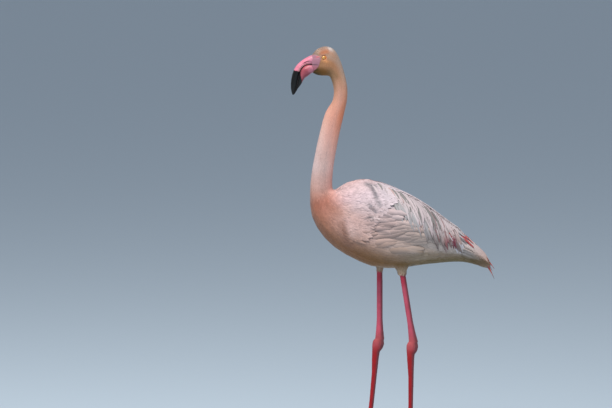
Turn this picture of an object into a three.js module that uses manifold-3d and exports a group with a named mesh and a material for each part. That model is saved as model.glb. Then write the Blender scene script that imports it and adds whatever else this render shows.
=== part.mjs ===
// A greater flamingo, life size, standing on both webbed feet with its neck raised.
//
// Millimetres, +Z up. The bird faces -X and its left side is towards -Y. The origin is on the floor,
// under the middle of the bird's length and width. Head, neck and trunk are one long loft between a
// back rail and a belly rail, parted by thin plane gaps. The folded wings lie over the trunk.
import * as THREE from "three";
import { mergeVertices } from "three/addons/utils/BufferGeometryUtils.js";
import Module from "manifold-3d";

const wasm = await Module();
wasm.setup();

// ---------------------------------------------------------------- driving sizes
const GAP = 0.3; // between two solids that touch
const FAR = 400; // half the size of the blocks that cut across the whole bird
const HIP_SPREAD = 36; // each leg's distance from the middle plane
const ANKLE_HEIGHT = 330; // middle of the intertarsal joint above the floor
const KNUCKLE_TOP = ANKLE_HEIGHT + 4; // where the bare shank stops on the ankle's knuckle
const PALM_TOP = 18; // where the tarsus stops on the palm of the foot

// ---------------------------------------------------------------- the long loft: head, neck and trunk
// Each station is a slice across the body: [back x, back z, belly x, belly z, half width].
const HEAD_STATIONS = {
  face: [-224, 1139.5, -224.5, 1087.5, 14.5],
  brow: [-211.5, 1153, -212.5, 1081, 19.5],
  crown: [-188, 1161, -195, 1078.5, 24],
  hindcrown: [-165, 1153, -182, 1078.5, 25],
  occiput: [-152, 1134, -176, 1076, 23.5],
  nape: [-142.5, 1111, -171.5, 1067, 21.5],
};
const NECK_STATIONS = {
  throat: [-133, 1077, -166.5, 1050, 19.5],
  upperBend: [-127, 1044, -164.5, 1032, 18.5],
  upperNeck: [-128, 1010, -168.5, 1008, 18.5],
  slope: [-135.5, 976, -187, 978, 21],
  middle: [-149.5, 915, -204.5, 915, 24],
  lowerNeck: [-163, 843, -220, 843, 26],
  neckFoot: [-168.5, 792, -228.5, 792, 28.5],
};
const TRUNK_STATIONS = {
  neckBase: [-166.5, 758, -231.5, 741, 34],
  shoulder: [-153, 764, -225, 691, 50],
  breast: [-133, 778, -202, 643, 65],
  foreWing: [-105, 785.5, -160, 599.5, 76],
  highBack: [-70, 786, -108, 569, 82],
  midBack: [-22, 768, -46, 543.5, 84],
  loin: [30, 743, 20, 540.5, 82],
  hindBack: [84, 710, 80, 551.5, 73],
  rump: [136, 669, 134, 557.5, 58],
  tailCoverts: [184, 630, 184, 561, 44],
  vent: [218, 603, 216, 557, 35],
  tailBase: [240, 584, 238, 549.5, 28],
};

// ---------------------------------------------------------------- folded wings
// The wing's outer surface. It starts under the shoulder feathers and roofs over the rump.
const WING_STATIONS = {
  wrist: [-128, 750, -128, 650, 64],
  foreEdge: [-98, 778, -100, 610, 80],
  shoulder: [-58, 783, -60, 590, 88],
  middle: [-7, 768.5, -8, 578, 92],
  elbow: [50, 740.5, 50, 574, 90],
  hind: [105, 706.5, 105, 572, 81],
  tertials: [153, 669, 151, 570, 68],
  primaries: [190, 648, 190, 570, 54],
  tip: [243, 594, 242, 572, 32],
};
// The wing's outline from the side, in x and z: round in front, a hem of feather tips, then the point.
const WING_SIDE = {
  frontTopX: -92,
  frontBulge: [-134, 700],
  hemStart: [-90, 634],
  hemEnd: [140, 582],
  pointBulge: [190, 578],
  point: [250, 592],
  backX: 120,
  tips: 9,
  tipDepth: 7,
};
// The scapulars are long shoulder feathers that lie over the wing and drape from the back.
const SCAPULARS = {
  lift: 4.6,
  frontTopX: -66,
  edgeStart: [-62, 770],
  edgeEnd: [122, 602],
  edgeTips: 5,
  edgeTipDepth: 12,
  hemEnd: [190, 610],
  hemTips: 4,
  hemTipDepth: 16,
  backX: 100,
};
const OVER_BACK = 820; // a height clear of the back, where the side outlines close

// ---------------------------------------------------------------- tail
// The tail hangs a little. Its feathers part towards their tips, and the middle ones are longest.
const TAIL_STATIONS = {
  root: [241, 583, 239, 549.5, 27],
  middle: [256, 571, 250, 545, 24],
  hind: [267, 556, 262, 538, 17],
};
// [tip x, tip z, side] of a feather, or of a pair where the side isn't 0
const TAIL_FEATHERS = [
  [283.54, 510, 0],
  [281, 526, 9],
  [281, 544, 16],
];
const TAIL_FEATHER = { rootX: 246, rootZ: 566, width: 7.5, thickness: 1.8 };

// ---------------------------------------------------------------- bill
// Stations run from the face to the tip: [ridge x, ridge z, edge x, edge z, half width].
const UPPER_BILL_STATIONS = {
  face: [-224.8, 1137, -225.3, 1110.6, 14],
  nostril: [-240, 1130, -237, 1110.6, 12.5],
  ridge: [-255, 1120, -246.5, 1107, 11.5],
  bend: [-268, 1108, -254, 1100.4, 12.5],
  blackEdge: [-276.3, 1094.8, -258.8, 1091, 12.8],
  hook: [-282, 1076.5, -263, 1076.5, 11.5],
  spoon: [-284.6, 1056, -266.5, 1058.5, 9.5],
  nail: [-283.6, 1037, -272, 1040, 6],
  tip: [-279.6, 1024, -278, 1025, 1.2],
};
const LOWER_BILL_STATIONS = {
  face: [-225.3, 1109.6, -225.3, 1087.5, 14.8],
  trough: [-237, 1109.6, -233.5, 1080.5, 16],
  keel: [-246, 1106, -243, 1074.6, 16],
  bend: [-253.2, 1099.6, -249.2, 1067.5, 15.5],
  blackEdge: [-257.8, 1090.4, -253.5, 1058.5, 14],
  hook: [-262, 1076, -259.5, 1049.5, 11.5],
  spoon: [-265.5, 1058, -265, 1042.5, 8.5],
  nail: [-271, 1039.5, -270, 1034, 5],
  tip: [-277, 1025, -276.3, 1024.5, 1.2],
};
const BLACK_EDGE = 4; // the station where the bill turns from pink to black

// ---------------------------------------------------------------- eyes
const EYE_RADIUS = 6.5;
const EYE_CENTRE = { x: -192.5, z: 1130.5, side: 17.4 };

// ---------------------------------------------------------------- legs
// The left leg trails and the right leg leads, as in an easy standing pose.
const LEGS = {
  left: { side: -1, hipX: 25.5, kneeTopZ: 524, ankleX: 58, footX: 46, thighTop: [22, 572, 30] },
  right: { side: 1, hipX: -35.5, kneeTopZ: 534, ankleX: -35, footX: -74, thighTop: [-35, 572, 27] },
};
const SHANK_DEPTH = 8; // half the bare tibia, fore and aft
const SHANK_WIDTH = 6.6;

// ---------------------------------------------------------------- feet
const TOES = {
  inner: { angle: -30, length: 62, radius: 4.6, joints: 2 },
  middle: { angle: 0, length: 80, radius: 5, joints: 3 },
  outer: { angle: 27, length: 72, radius: 4.6, joints: 4 },
};
const WEB_THICKNESS = 2;
const WEB_DIP = 0.8; // how far out the web's free edge stays between two toe tips
const CLAW_LENGTH = 9;
// The palm's slices from the sole to the tarsus: [x, z, fore-and-aft radius, sideways radius].
const PALM = [
  [-7, 5, 11, 12],
  [-1, 10, 9.5, 10.5],
  [0, PALM_TOP + 4, 8.4, 9],
];
// The short hind toe: [x, aside, z, radius].
const HIND_TOE = [
  [4, 1, 13, 3.6],
  [11, 2.5, 12, 3],
  [20, 4, 9, 2],
];

// ================================================================ shared shape makers

const smooth = (a, b, t) => {
  const s = Math.min(1, Math.max(0, (t - a) / (b - a)));
  return s * s * (3 - 2 * s);
};

const centreOf = (ring) =>
  ring.reduce((sum, p) => sum.addScaledVector(p, 1 / ring.length), new THREE.Vector3());

// Whether a ring's points run clockwise when seen from the next ring.
function turnsBack(ring, next) {
  const middle = centreOf(ring);
  const normal = new THREE.Vector3();
  ring.forEach((p, i) => {
    const after = ring[(i + 1) % ring.length];
    normal.add(p.clone().sub(middle).cross(after.clone().sub(middle)));
  });
  return normal.dot(centreOf(next).sub(middle)) < 0;
}

// A closed geometry through rings of equally many points, with a flat fan at each end.
function skinRings(rings) {
  if (turnsBack(rings[0], rings[1])) rings.forEach((ring) => ring.reverse());
  const sides = rings[0].length;
  const points = rings.flat();
  const index = [];
  for (let r = 0; r + 1 < rings.length; r++)
    for (let i = 0; i < sides; i++) {
      const j = (i + 1) % sides;
      const [a, b] = [r * sides + i, r * sides + j];
      index.push(a, b, b + sides, a, b + sides, a + sides);
    }
  for (const [r, flip] of [[0, true], [rings.length - 1, false]]) {
    points.push(centreOf(rings[r]));
    for (let i = 0; i < sides; i++) {
      const [a, b] = [r * sides + i, r * sides + ((i + 1) % sides)];
      index.push(...(flip ? [b, a, points.length - 1] : [a, b, points.length - 1]));
    }
  }
  return new THREE.BufferGeometry().setFromPoints(points).setIndex(index);
}

// Rings between an upper and a lower rail, from one station number to another. `square` over 2 makes
// the slices boxy, `pear` moves their widest place down, and `grow` swells them on every side.
function loft(table, { from, to, steps, sides, square = 2, pear = 0, grow = 0 }) {
  const rows = Object.values(table);
  const rail = (x, z) =>
    new THREE.CatmullRomCurve3(rows.map((row) => new THREE.Vector3(row[x], row[4], row[z])));
  const upper = rail(0, 1);
  const lower = rail(2, 3);
  const last = rows.length - 1;
  const rings = [];
  for (let k = 0; k <= steps; k++) {
    const t = THREE.MathUtils.lerp(from ?? 0, to ?? last, k / steps) / last;
    const top = upper.getPoint(t);
    const low = lower.getPoint(t);
    const wide = Math.max(0.3, top.y) + grow;
    top.y = low.y = 0;
    const middle = top.clone().add(low).multiplyScalar(0.5);
    const half = top.clone().sub(low).multiplyScalar(0.5);
    half.setLength(half.length() + grow);
    const ring = [];
    for (let i = 0; i < sides; i++) {
      const a = (2 * Math.PI * i) / sides;
      const [c, s] = [Math.cos(a), Math.sin(a)].map((v) => Math.sign(v) * Math.abs(v) ** (2 / square));
      const p = middle.clone().addScaledVector(half, s);
      p.y = wide * c * (1 - pear * s);
      ring.push(p);
    }
    rings.push(ring);
  }
  return skinRings(rings);
}

// A tube along a line of points, whose rings each have a fore-and-aft and a sideways radius.
function limb(path, radii, sides) {
  const rings = path.map((p, k) => {
    const along = path[Math.min(k + 1, path.length - 1)].clone().sub(path[Math.max(k - 1, 0)]).normalize();
    const across = new THREE.Vector3(0, 1, 0).addScaledVector(along, -along.y).normalize();
    const fore = new THREE.Vector3().crossVectors(across, along);
    return Array.from({ length: sides }, (_, i) => {
      const a = (2 * Math.PI * i) / sides;
      return p
        .clone()
        .addScaledVector(fore, radii[k][0] * Math.cos(a))
        .addScaledVector(across, radii[k][1] * Math.sin(a));
    });
  });
  return skinRings(rings);
}

// ---------------------------------------------------------------- joining and cutting

function solid(geometry, matrix) {
  const bare = geometry.clone();
  bare.deleteAttribute("normal");
  bare.deleteAttribute("uv");
  if (matrix) bare.applyMatrix4(matrix);
  const merged = mergeVertices(bare, 1e-4);
  const made = new wasm.Manifold(
    new wasm.Mesh({
      numProp: 3,
      vertProperties: merged.attributes.position.array,
      triVerts: new Uint32Array(merged.index.array),
    }),
  );
  if (made.volume() < 0) throw new Error("a shape is inside out");
  return made;
}

// The largest single body of a solid, as a geometry.
function geometryOf(made) {
  const whole = made.decompose().sort((a, b) => b.volume() - a.volume())[0];
  const mesh = whole.getMesh();
  return new THREE.BufferGeometry()
    .setAttribute("position", new THREE.BufferAttribute(mesh.vertProperties.slice(), 3))
    .setIndex(new THREE.BufferAttribute(mesh.triVerts.slice(), 1));
}

function box(low, high) {
  const size = high.map((v, k) => v - low[k]);
  return solid(
    new THREE.BoxGeometry(...size),
    new THREE.Matrix4().makeTranslation(...low.map((v, k) => v + size[k] / 2)),
  );
}

// ================================================================ the bird

const flamingo = new THREE.Group();
flamingo.name = "flamingo";

const FINISH = {
  plumage: { color: 0xd9b3a5, roughness: 0.85 },
  wing: { color: 0xe6d3cd, roughness: 0.8 },
  tail: { color: 0xd8bdb4, roughness: 0.8 },
  billPink: { color: 0xe07a92, roughness: 0.45 },
  billBlack: { color: 0x17181b, roughness: 0.35 },
  eye: { color: 0xe8b45a, roughness: 0.1 },
  leg: { color: 0xc9405a, roughness: 0.5 },
  claw: { color: 0x2a2224, roughness: 0.5 },
};

function add(name, finish, shape) {
  const geometry = shape.isBufferGeometry ? shape : geometryOf(shape);
  const material = new THREE.MeshStandardMaterial({ metalness: 0, ...FINISH[finish] });
  const mesh = new THREE.Mesh(geometry, material);
  mesh.name = name;
  flamingo.add(mesh);
  return mesh;
}

// ---------------------------------------------------------------- head and eyes
const LONG_LOFT = { ...HEAD_STATIONS, ...NECK_STATIONS, ...prefixed(TRUNK_STATIONS) };
const HEAD_COUNT = Object.keys(HEAD_STATIONS).length;
const NECK_COUNT = Object.keys(NECK_STATIONS).length;

// Station names that two tables share, such as "shoulder", are told apart.
function prefixed(table) {
  return Object.fromEntries(Object.entries(table).map(([key, row]) => ["trunk_" + key, row]));
}

// Two lengths of the long loft are parted by this share of a station.
const PART = 0.012;
const headEnd = HEAD_COUNT - 0.5;
const neckCuts = [headEnd, HEAD_COUNT + 1.7, HEAD_COUNT + 3.9, HEAD_COUNT + NECK_COUNT - 0.15];

let head = solid(loft(LONG_LOFT, { to: headEnd - PART, steps: 14, sides: 22, square: 2.15, pear: 0.06 }));
for (const [name, side] of [["eye_left", -1], ["eye_right", 1]]) {
  const place = new THREE.Matrix4().makeTranslation(EYE_CENTRE.x, side * EYE_CENTRE.side, EYE_CENTRE.z);
  head = head.subtract(solid(new THREE.SphereGeometry(EYE_RADIUS + GAP, 12, 8), place));
  const eye = add(name, "eye", new THREE.SphereGeometry(EYE_RADIUS, 12, 8));
  eye.position.setFromMatrixPosition(place);
}
add("head", "plumage", head);

// ---------------------------------------------------------------- neck, in three lengths
["neck_upper", "neck_middle", "neck_lower"].forEach((name, k) => {
  const steps = [7, 5, 6][k];
  add(name, "plumage", loft(LONG_LOFT, {
    from: neckCuts[k] + PART,
    to: neckCuts[k + 1] - PART,
    steps,
    sides: 20,
  }));
});

// ---------------------------------------------------------------- trunk
const trunkRange = { from: neckCuts[3] + PART, steps: 18, sides: 26, square: 2.15, pear: 0.08 };
const trunk = solid(loft(LONG_LOFT, trunkRange));
const trunkRoom = solid(loft(LONG_LOFT, { ...trunkRange, grow: GAP }));
add("trunk", "plumage", trunk);

// ---------------------------------------------------------------- folded wings
// An outline's next edge: so many round feather tips from one point to another.
function featherTips(outline, to, count, depth) {
  const from = outline.currentPoint.clone();
  const step = to.clone().sub(from).divideScalar(count);
  const outward = new THREE.Vector2(step.y, -step.x).setLength(depth);
  for (let k = 0; k < count; k++) {
    const a = from.clone().addScaledVector(step, k);
    const tip = a.clone().addScaledVector(step, 0.75).add(outward);
    const b = a.clone().add(step);
    outline.quadraticCurveTo(tip.x, tip.y, b.x, b.y);
  }
}

// The whole width of the bird behind an outline that is drawn in x and z.
function prism(outline) {
  const upright = new THREE.Matrix4().makeRotationX(Math.PI / 2);
  const geometry = new THREE.ExtrudeGeometry(outline, {
    depth: 2 * FAR,
    bevelEnabled: false,
    curveSegments: 4,
  });
  return solid(geometry, upright.premultiply(new THREE.Matrix4().makeTranslation(0, FAR, 0)));
}

const wingLoft = (grow) =>
  solid(loft(WING_STATIONS, { steps: 13, sides: 24, square: 2.2, pear: -0.05, grow }));

const at = ([x, z]) => new THREE.Vector2(x, z);

const wingOutline = new THREE.Shape().moveTo(WING_SIDE.frontTopX, OVER_BACK);
wingOutline.quadraticCurveTo(...WING_SIDE.frontBulge, ...WING_SIDE.hemStart);
featherTips(wingOutline, at(WING_SIDE.hemEnd), WING_SIDE.tips, WING_SIDE.tipDepth);
wingOutline.quadraticCurveTo(...WING_SIDE.pointBulge, ...WING_SIDE.point);
wingOutline.lineTo(WING_SIDE.point[0] + 10, WING_SIDE.point[1] + 70);
wingOutline.lineTo(WING_SIDE.backX, OVER_BACK);

const scapularOutline = new THREE.Shape().moveTo(SCAPULARS.frontTopX, OVER_BACK);
scapularOutline.lineTo(...SCAPULARS.edgeStart);
featherTips(scapularOutline, at(SCAPULARS.edgeEnd), SCAPULARS.edgeTips, SCAPULARS.edgeTipDepth);
featherTips(scapularOutline, at(SCAPULARS.hemEnd), SCAPULARS.hemTips, SCAPULARS.hemTipDepth);
scapularOutline.lineTo(SCAPULARS.hemEnd[0] + 6, SCAPULARS.hemEnd[1] + 90);
scapularOutline.lineTo(SCAPULARS.backX, OVER_BACK);

const bothWings = wingLoft(0).intersect(prism(wingOutline)).subtract(trunkRoom);
const bothScapulars = wingLoft(SCAPULARS.lift)
  .intersect(prism(scapularOutline))
  .subtract(wingLoft(GAP))
  .subtract(trunkRoom);
for (const [side, near, far] of [["left", -FAR, -GAP / 2], ["right", GAP / 2, FAR]]) {
  const half = box([-FAR, near, 0], [FAR, far, 4 * FAR]);
  add("wing_" + side, "wing", bothWings.intersect(half));
  add("scapulars_" + side, "wing", bothScapulars.intersect(half));
}

// ---------------------------------------------------------------- tail
let tail = solid(loft(TAIL_STATIONS, { steps: 3, sides: 14, square: 2.4 }));
for (const [tipX, tipZ, side] of TAIL_FEATHERS)
  for (const across of side ? [-side, side] : [0]) {
    const { rootX, rootZ, width, thickness } = TAIL_FEATHER;
    const root = new THREE.Vector3(rootX, across * 0.8, rootZ);
    const tip = new THREE.Vector3(tipX, across, tipZ);
    const bend = new THREE.Vector3(tipX - 4, across, (rootZ + tipZ) / 2 + 5);
    const curve = new THREE.QuadraticBezierCurve3(root, bend, tip);
    const radii = [1, 1, 0.8, 0.15].map((k) => [thickness * Math.max(k, 0.5), width * k]);
    tail = tail.add(solid(limb(curve.getPoints(3), radii, 6)));
  }
add("tail", "tail", tail.subtract(trunkRoom));

// ---------------------------------------------------------------- bill
for (const [part, table, square, pear] of [
  ["upper", UPPER_BILL_STATIONS, 2.3, 0.12],
  ["lower", LOWER_BILL_STATIONS, 2.6, -0.08],
]) {
  const range = { sides: 14, square, pear };
  add("bill_" + part, "billPink", loft(table, { ...range, to: BLACK_EDGE - PART, steps: 6 }));
  add("bill_tip_" + part, "billBlack", loft(table, { ...range, from: BLACK_EDGE + PART, steps: 6 }));
}

// ---------------------------------------------------------------- legs
// The feathered thigh is a short cone that comes out of the belly.
function thigh(leg, y) {
  const [topX, topZ, radius] = leg.thighTop;
  const top = new THREE.Vector3(topX, y * 0.95, topZ);
  const low = new THREE.Vector3(leg.hipX + 1, y, leg.kneeTopZ);
  const path = [0, 0.35, 0.7, 1, 1.1].map((t) => top.clone().lerp(low, t));
  const radii = [1, 0.78, 0.5, 0.34, 0.3].map((k) => [radius * k, radius * 0.85 * k]);
  return limb(path, radii, 16);
}

// A shank of bare skin, which flares where it meets the ankle's knuckle.
function shank(leg, y) {
  const top = new THREE.Vector3(leg.hipX, y, leg.kneeTopZ + 12);
  const low = new THREE.Vector3(leg.ankleX, y, ANKLE_HEIGHT + 4);
  const steps = 7;
  const path = [];
  const radii = [];
  for (let k = 0; k <= steps; k++) {
    const t = k / steps;
    path.push(top.clone().lerp(low, t));
    const flare = smooth(0.76, 1, t);
    radii.push([SHANK_DEPTH + 5 * flare, SHANK_WIDTH + 4.5 * flare]);
  }
  return limb(path, radii, 12);
}

// The ankle knuckle and the long tarsus below it, down to the toes.
function tarsus(leg, y) {
  const ankle = new THREE.Vector3(leg.ankleX - 1.5, y, ANKLE_HEIGHT + 3.5);
  const foot = new THREE.Vector3(leg.footX, y, PALM_TOP);
  // [share of the length, fore-and-aft radius, sideways radius, forward shift]
  const profile = [
    [0, 13.6, 11.2, 0],
    [0.03, 16.4, 12, 1],
    [0.065, 15.2, 11, 2.5],
    [0.1, 11, 9.2, 5],
    [0.16, 9.6, 8, 4.5],
    [0.3, 7.4, 6.4, 2],
    [0.55, 6.4, 5.8, 0],
    [0.8, 6.4, 6, 0],
    [0.93, 7.6, 7.6, 0],
    [1, 8.6, 9.2, 0],
  ];
  const path = profile.map(([t, , , shift]) => {
    const p = ankle.clone().lerp(foot, t);
    p.x -= shift;
    return p;
  });
  return limb(path, profile.map(([, fore, aside]) => [fore, aside]), 12);
}

// ---------------------------------------------------------------- feet
// A toe points from the foot's middle. Its pads swell at each joint.
function toePoint(toe, reach, z) {
  const a = THREE.MathUtils.degToRad(toe.angle);
  return new THREE.Vector3(-Math.cos(a) * reach, -Math.sin(a) * reach, z);
}

function toeShape(toe) {
  const steps = 2 * toe.joints + 1;
  const path = [];
  const radii = [];
  for (let k = 0; k <= steps; k++) {
    const t = k / steps;
    const r = toe.radius * (1 - 0.42 * t) * (1 + 0.13 * Math.cos(Math.PI * k));
    path.push(toePoint(toe, -2 + t * (toe.length + 2), r * 0.72));
    radii.push([r, r * 1.12]);
  }
  return limb(path, radii, 6);
}

function webShape() {
  const heel = 7;
  const tips = Object.values(TOES).map((toe) => toePoint(toe, toe.length * 0.93, 0));
  const outline = new THREE.Shape().moveTo(heel, 3);
  outline.lineTo(tips[0].x, tips[0].y);
  for (let k = 1; k < tips.length; k++) {
    const bay = tips[k - 1].clone().add(tips[k]).multiplyScalar(0.5 * WEB_DIP);
    outline.quadraticCurveTo(bay.x, bay.y, tips[k].x, tips[k].y);
  }
  outline.lineTo(heel, -3);
  outline.closePath();
  return new THREE.ExtrudeGeometry(outline, {
    depth: WEB_THICKNESS,
    bevelEnabled: false,
    curveSegments: 5,
  });
}

function clawShape(length, radius) {
  const path = [];
  const radii = [];
  const steps = 4;
  for (let k = 0; k <= steps; k++) {
    const t = k / steps;
    path.push(new THREE.Vector3(-length * t, 0, radius * 1.05 * (1 - 0.8 * t * t)));
    radii.push([radius * (1 - 0.85 * t), radius * (1 - 0.8 * t)]);
  }
  return limb(path, radii, 6);
}

// Palm, toes, web and hind toe are one piece, flat underneath, about an origin below the shank.
function footSolid() {
  let foot = solid(webShape());
  for (const toe of Object.values(TOES)) foot = foot.add(solid(toeShape(toe)));
  const palm = PALM.map(([x, z]) => new THREE.Vector3(x, 0, z));
  foot = foot.add(solid(limb(palm, PALM.map(([, , fore, aside]) => [fore, aside]), 10)));
  const hind = HIND_TOE.map(([x, aside, z]) => new THREE.Vector3(x, aside, z));
  foot = foot.add(solid(limb(hind, HIND_TOE.map(([, , , r]) => [r, r]), 6)));
  return foot.subtract(below(0));
}

const above = (z) => box([-FAR, -FAR, z], [FAR, FAR, 4 * FAR]);
const below = (z) => box([-FAR, -FAR, -FAR], [FAR, FAR, z]);
for (const [sideName, leg] of Object.entries(LEGS)) {
  const y = leg.side * HIP_SPREAD;
  const between = (made, high, low) => made.subtract(above(high)).subtract(below(low));
  const thighSolid = solid(thigh(leg, y)).subtract(trunkRoom).subtract(below(leg.kneeTopZ));
  const shankSolid = between(solid(shank(leg, y)), leg.kneeTopZ - GAP, KNUCKLE_TOP + GAP);
  const tarsusSolid = between(solid(tarsus(leg, y)), KNUCKLE_TOP, PALM_TOP + GAP);
  add("thigh_" + sideName, "plumage", thighSolid);
  add("shank_" + sideName, "leg", shankSolid);
  add("tarsus_" + sideName, "leg", tarsusSolid);

  const foot = add("foot_" + sideName, "leg", footSolid().subtract(above(PALM_TOP)));
  foot.position.set(leg.footX, y, 0);
  foot.scale.y = -leg.side;

  for (const [toeName, toe] of Object.entries(TOES)) {
    const claw = add("claw_" + toeName + "_" + sideName, "claw", clawShape(CLAW_LENGTH, toe.radius * 0.52));
    const tip = toePoint(toe, toe.length + GAP, 0.1);
    claw.position.set(leg.footX + tip.x, y - leg.side * tip.y, tip.z);
    claw.rotation.z = -leg.side * THREE.MathUtils.degToRad(toe.angle);
  }
}

export default flamingo;
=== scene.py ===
# A greater flamingo, life size, standing on its webbed feet with its neck raised.
import itertools
import math

import bmesh
import bpy
import numpy as np
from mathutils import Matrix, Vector
from mathutils.bvhtree import BVHTree


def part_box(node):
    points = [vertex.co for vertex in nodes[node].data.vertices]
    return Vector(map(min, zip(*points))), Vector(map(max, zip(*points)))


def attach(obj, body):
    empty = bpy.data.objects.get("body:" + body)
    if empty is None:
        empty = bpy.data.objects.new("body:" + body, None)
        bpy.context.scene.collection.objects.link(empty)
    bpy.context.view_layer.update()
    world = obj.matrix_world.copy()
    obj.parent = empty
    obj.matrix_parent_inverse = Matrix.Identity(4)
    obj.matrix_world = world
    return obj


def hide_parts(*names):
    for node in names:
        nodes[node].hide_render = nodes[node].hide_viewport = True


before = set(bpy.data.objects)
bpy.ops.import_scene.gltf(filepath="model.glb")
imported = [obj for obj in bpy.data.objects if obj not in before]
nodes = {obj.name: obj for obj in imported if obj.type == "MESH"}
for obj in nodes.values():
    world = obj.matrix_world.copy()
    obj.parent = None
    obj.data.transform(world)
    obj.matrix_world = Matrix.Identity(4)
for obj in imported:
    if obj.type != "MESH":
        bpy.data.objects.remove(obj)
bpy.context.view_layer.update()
MM = 0.001
SIDES = {"left": -1, "right": 1}

# ---------------------------------------------------------------- Camera, floor and light
# The camera looks at the bird's left side from far off and a little above, over a pale floor that
# runs out of the frame. A broad soft lamp stands up and to the left, and the sky fills the rest.
PICTURE_WIDTH = 612
PICTURE_MM_PER_PIXEL = 2.794
CAMERA_DISTANCE = 12.0
CAMERA_RISE = math.radians(5.5)
AIM = Vector((-0.2422, 0, 0.7196))
SENSOR_WIDTH = 36
FLOOR_HALF = 60
FLOOR_COLOUR = (0.48, 0.58, 0.68)
SKY_COLOUR = (0.86, 0.92, 1.0, 1)
SKY_STRENGTH = 0.42
LAMP_PLACE = Vector((-1.5, -2.5, 5.4))
LAMP_AIM = Vector((0, 0, 0.7))
LAMP_WIDTH = 2.6
LAMP_WATTS = 360
LAMP_COLOUR = (1.0, 0.96, 0.9)


def linked(piece):
    """The piece, put into the scene."""
    bpy.context.scene.collection.objects.link(piece)
    return piece


def looking(name, data, place, target):
    """A camera or a lamp at a place, turned to its target."""
    stand = linked(bpy.data.objects.new(name, data))
    stand.location = place
    stand.rotation_mode = "QUATERNION"
    stand.rotation_quaternion = (place - target).to_track_quat("Z", "Y")
    return stand


away = Vector((0, -math.cos(CAMERA_RISE), math.sin(CAMERA_RISE)))
camera = looking("Camera", bpy.data.cameras.new("Camera"), AIM + away * CAMERA_DISTANCE, AIM)
camera.data.sensor_width = SENSOR_WIDTH
camera.data.lens = SENSOR_WIDTH * CAMERA_DISTANCE / (PICTURE_WIDTH * PICTURE_MM_PER_PIXEL * MM)
camera.data.clip_end = 200
bpy.context.scene.camera = camera
bpy.context.scene.view_settings.view_transform = "Standard"


def feed(tree, socket, value):
    """Gives a socket its value, or links it to the output of another node."""
    if isinstance(value, bpy.types.NodeSocket):
        tree.links.new(value, socket)
    else:
        socket.default_value = value


def wire(tree, part, **sockets):
    """Feeds the sockets of a node by their names."""
    for name, value in sockets.items():
        feed(tree, part.inputs[name.replace("_", " ")], value)
    return part


def finish_of(name, roughness, colour=(0.8, 0.8, 0.8), **sockets):
    """A new material, its node tree and its shader node, with constant sockets set."""
    material = bpy.data.materials.new(name)
    material.use_nodes = True
    shader = material.node_tree.nodes["Principled BSDF"]
    wire(material.node_tree, shader, Roughness=roughness, Base_Color=(*colour, 1), **sockets)
    return material, material.node_tree, shader


bm = bmesh.new()
bmesh.ops.create_grid(bm, x_segments=1, y_segments=1, size=FLOOR_HALF)
floor_mesh = bpy.data.meshes.new("floor")
bm.to_mesh(floor_mesh)
bm.free()
floor = linked(bpy.data.objects.new("floor", floor_mesh))
floor_mesh.materials.append(finish_of("Pale floor", roughness=0.9, colour=FLOOR_COLOUR)[0])

sky = bpy.data.worlds.new("Sky")
sky.use_nodes = True
wire(sky.node_tree, sky.node_tree.nodes["Background"], Color=SKY_COLOUR, Strength=SKY_STRENGTH)
bpy.context.scene.world = sky

lamp = bpy.data.lights.new("Key light", "AREA")
lamp.shape = "DISK"
lamp.size = LAMP_WIDTH
lamp.energy = LAMP_WATTS
lamp.color = LAMP_COLOUR
looking("Key light", lamp, LAMP_PLACE, LAMP_AIM)

# ---------------------------------------------------------------- Skin
# One skin covers the head, neck, trunk, folded wings, legs and feet. It is made from the solids of
# flesh, closed over the thin cuts between them, and lies inside them by the depth of the coat.
FLESH = ["head", "neck_upper", "neck_middle", "neck_lower", "trunk"]
FLESH += [f"{part}_{side}" for side in SIDES for part in ("thigh", "shank", "tarsus", "foot")]
UNDER_WINGS = ["wing_left", "wing_right"]


def settled(piece):
    """The piece with what its modifiers make as its own mesh."""
    graph = bpy.context.evaluated_depsgraph_get()
    mesh, before = bpy.data.meshes.new_from_object(piece.evaluated_get(graph)), piece.data
    piece.modifiers.clear()
    piece.data = mesh
    bpy.data.meshes.remove(before)
    return piece


def one_body(name, parts, swell, voxel, smoothing):
    """Copies of solids, swollen until their thin cuts close, as one smooth closed body."""
    whole = bmesh.new()
    for part in parts:
        bm = bmesh.new()
        bm.from_mesh(nodes[part].data)
        bmesh.ops.remove_doubles(bm, verts=bm.verts, dist=1e-6)
        bmesh.ops.recalc_face_normals(bm, faces=bm.faces)
        bm.normal_update()
        for vertex in bm.verts:
            vertex.co += vertex.normal * swell
        mesh = bpy.data.meshes.new(part)
        bm.to_mesh(mesh)
        bm.free()
        whole.from_mesh(mesh)
        bpy.data.meshes.remove(mesh)
    mesh = bpy.data.meshes.new(name)
    whole.to_mesh(mesh)
    whole.free()
    body = linked(bpy.data.objects.new(name, mesh))
    remesh = body.modifiers.new("One body", "REMESH")
    remesh.mode = "VOXEL"
    remesh.voxel_size = voxel
    smooth = body.modifiers.new("Smooth", "SMOOTH")
    smooth.iterations = smoothing
    return settled(body)


def rows_of(items, kind):
    """What a mesh's items hold under that name, such as their places, as rows of x, y and z."""
    values = np.empty(len(items) * 3, np.float32)
    items.foreach_get(kind, values)
    return values.reshape(-1, 3).astype(float)


def points_of(mesh):
    return rows_of(mesh.vertices, "co")


def normals_of(mesh):
    return rows_of(mesh.vertex_normals, "vector")


def move_points(mesh, points):
    mesh.vertices.foreach_set("co", points.astype(np.float32).ravel())
    mesh.update()


def ramp(value, low, high):
    """0 below low, 1 above high, and smooth between; low may be over high."""
    t = np.clip((value - low) / (high - low), 0, 1)
    return t * t * (3 - 2 * t)


def unit(vectors):
    return vectors / np.maximum(np.linalg.norm(vectors, axis=-1, keepdims=True), 1e-9)


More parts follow.
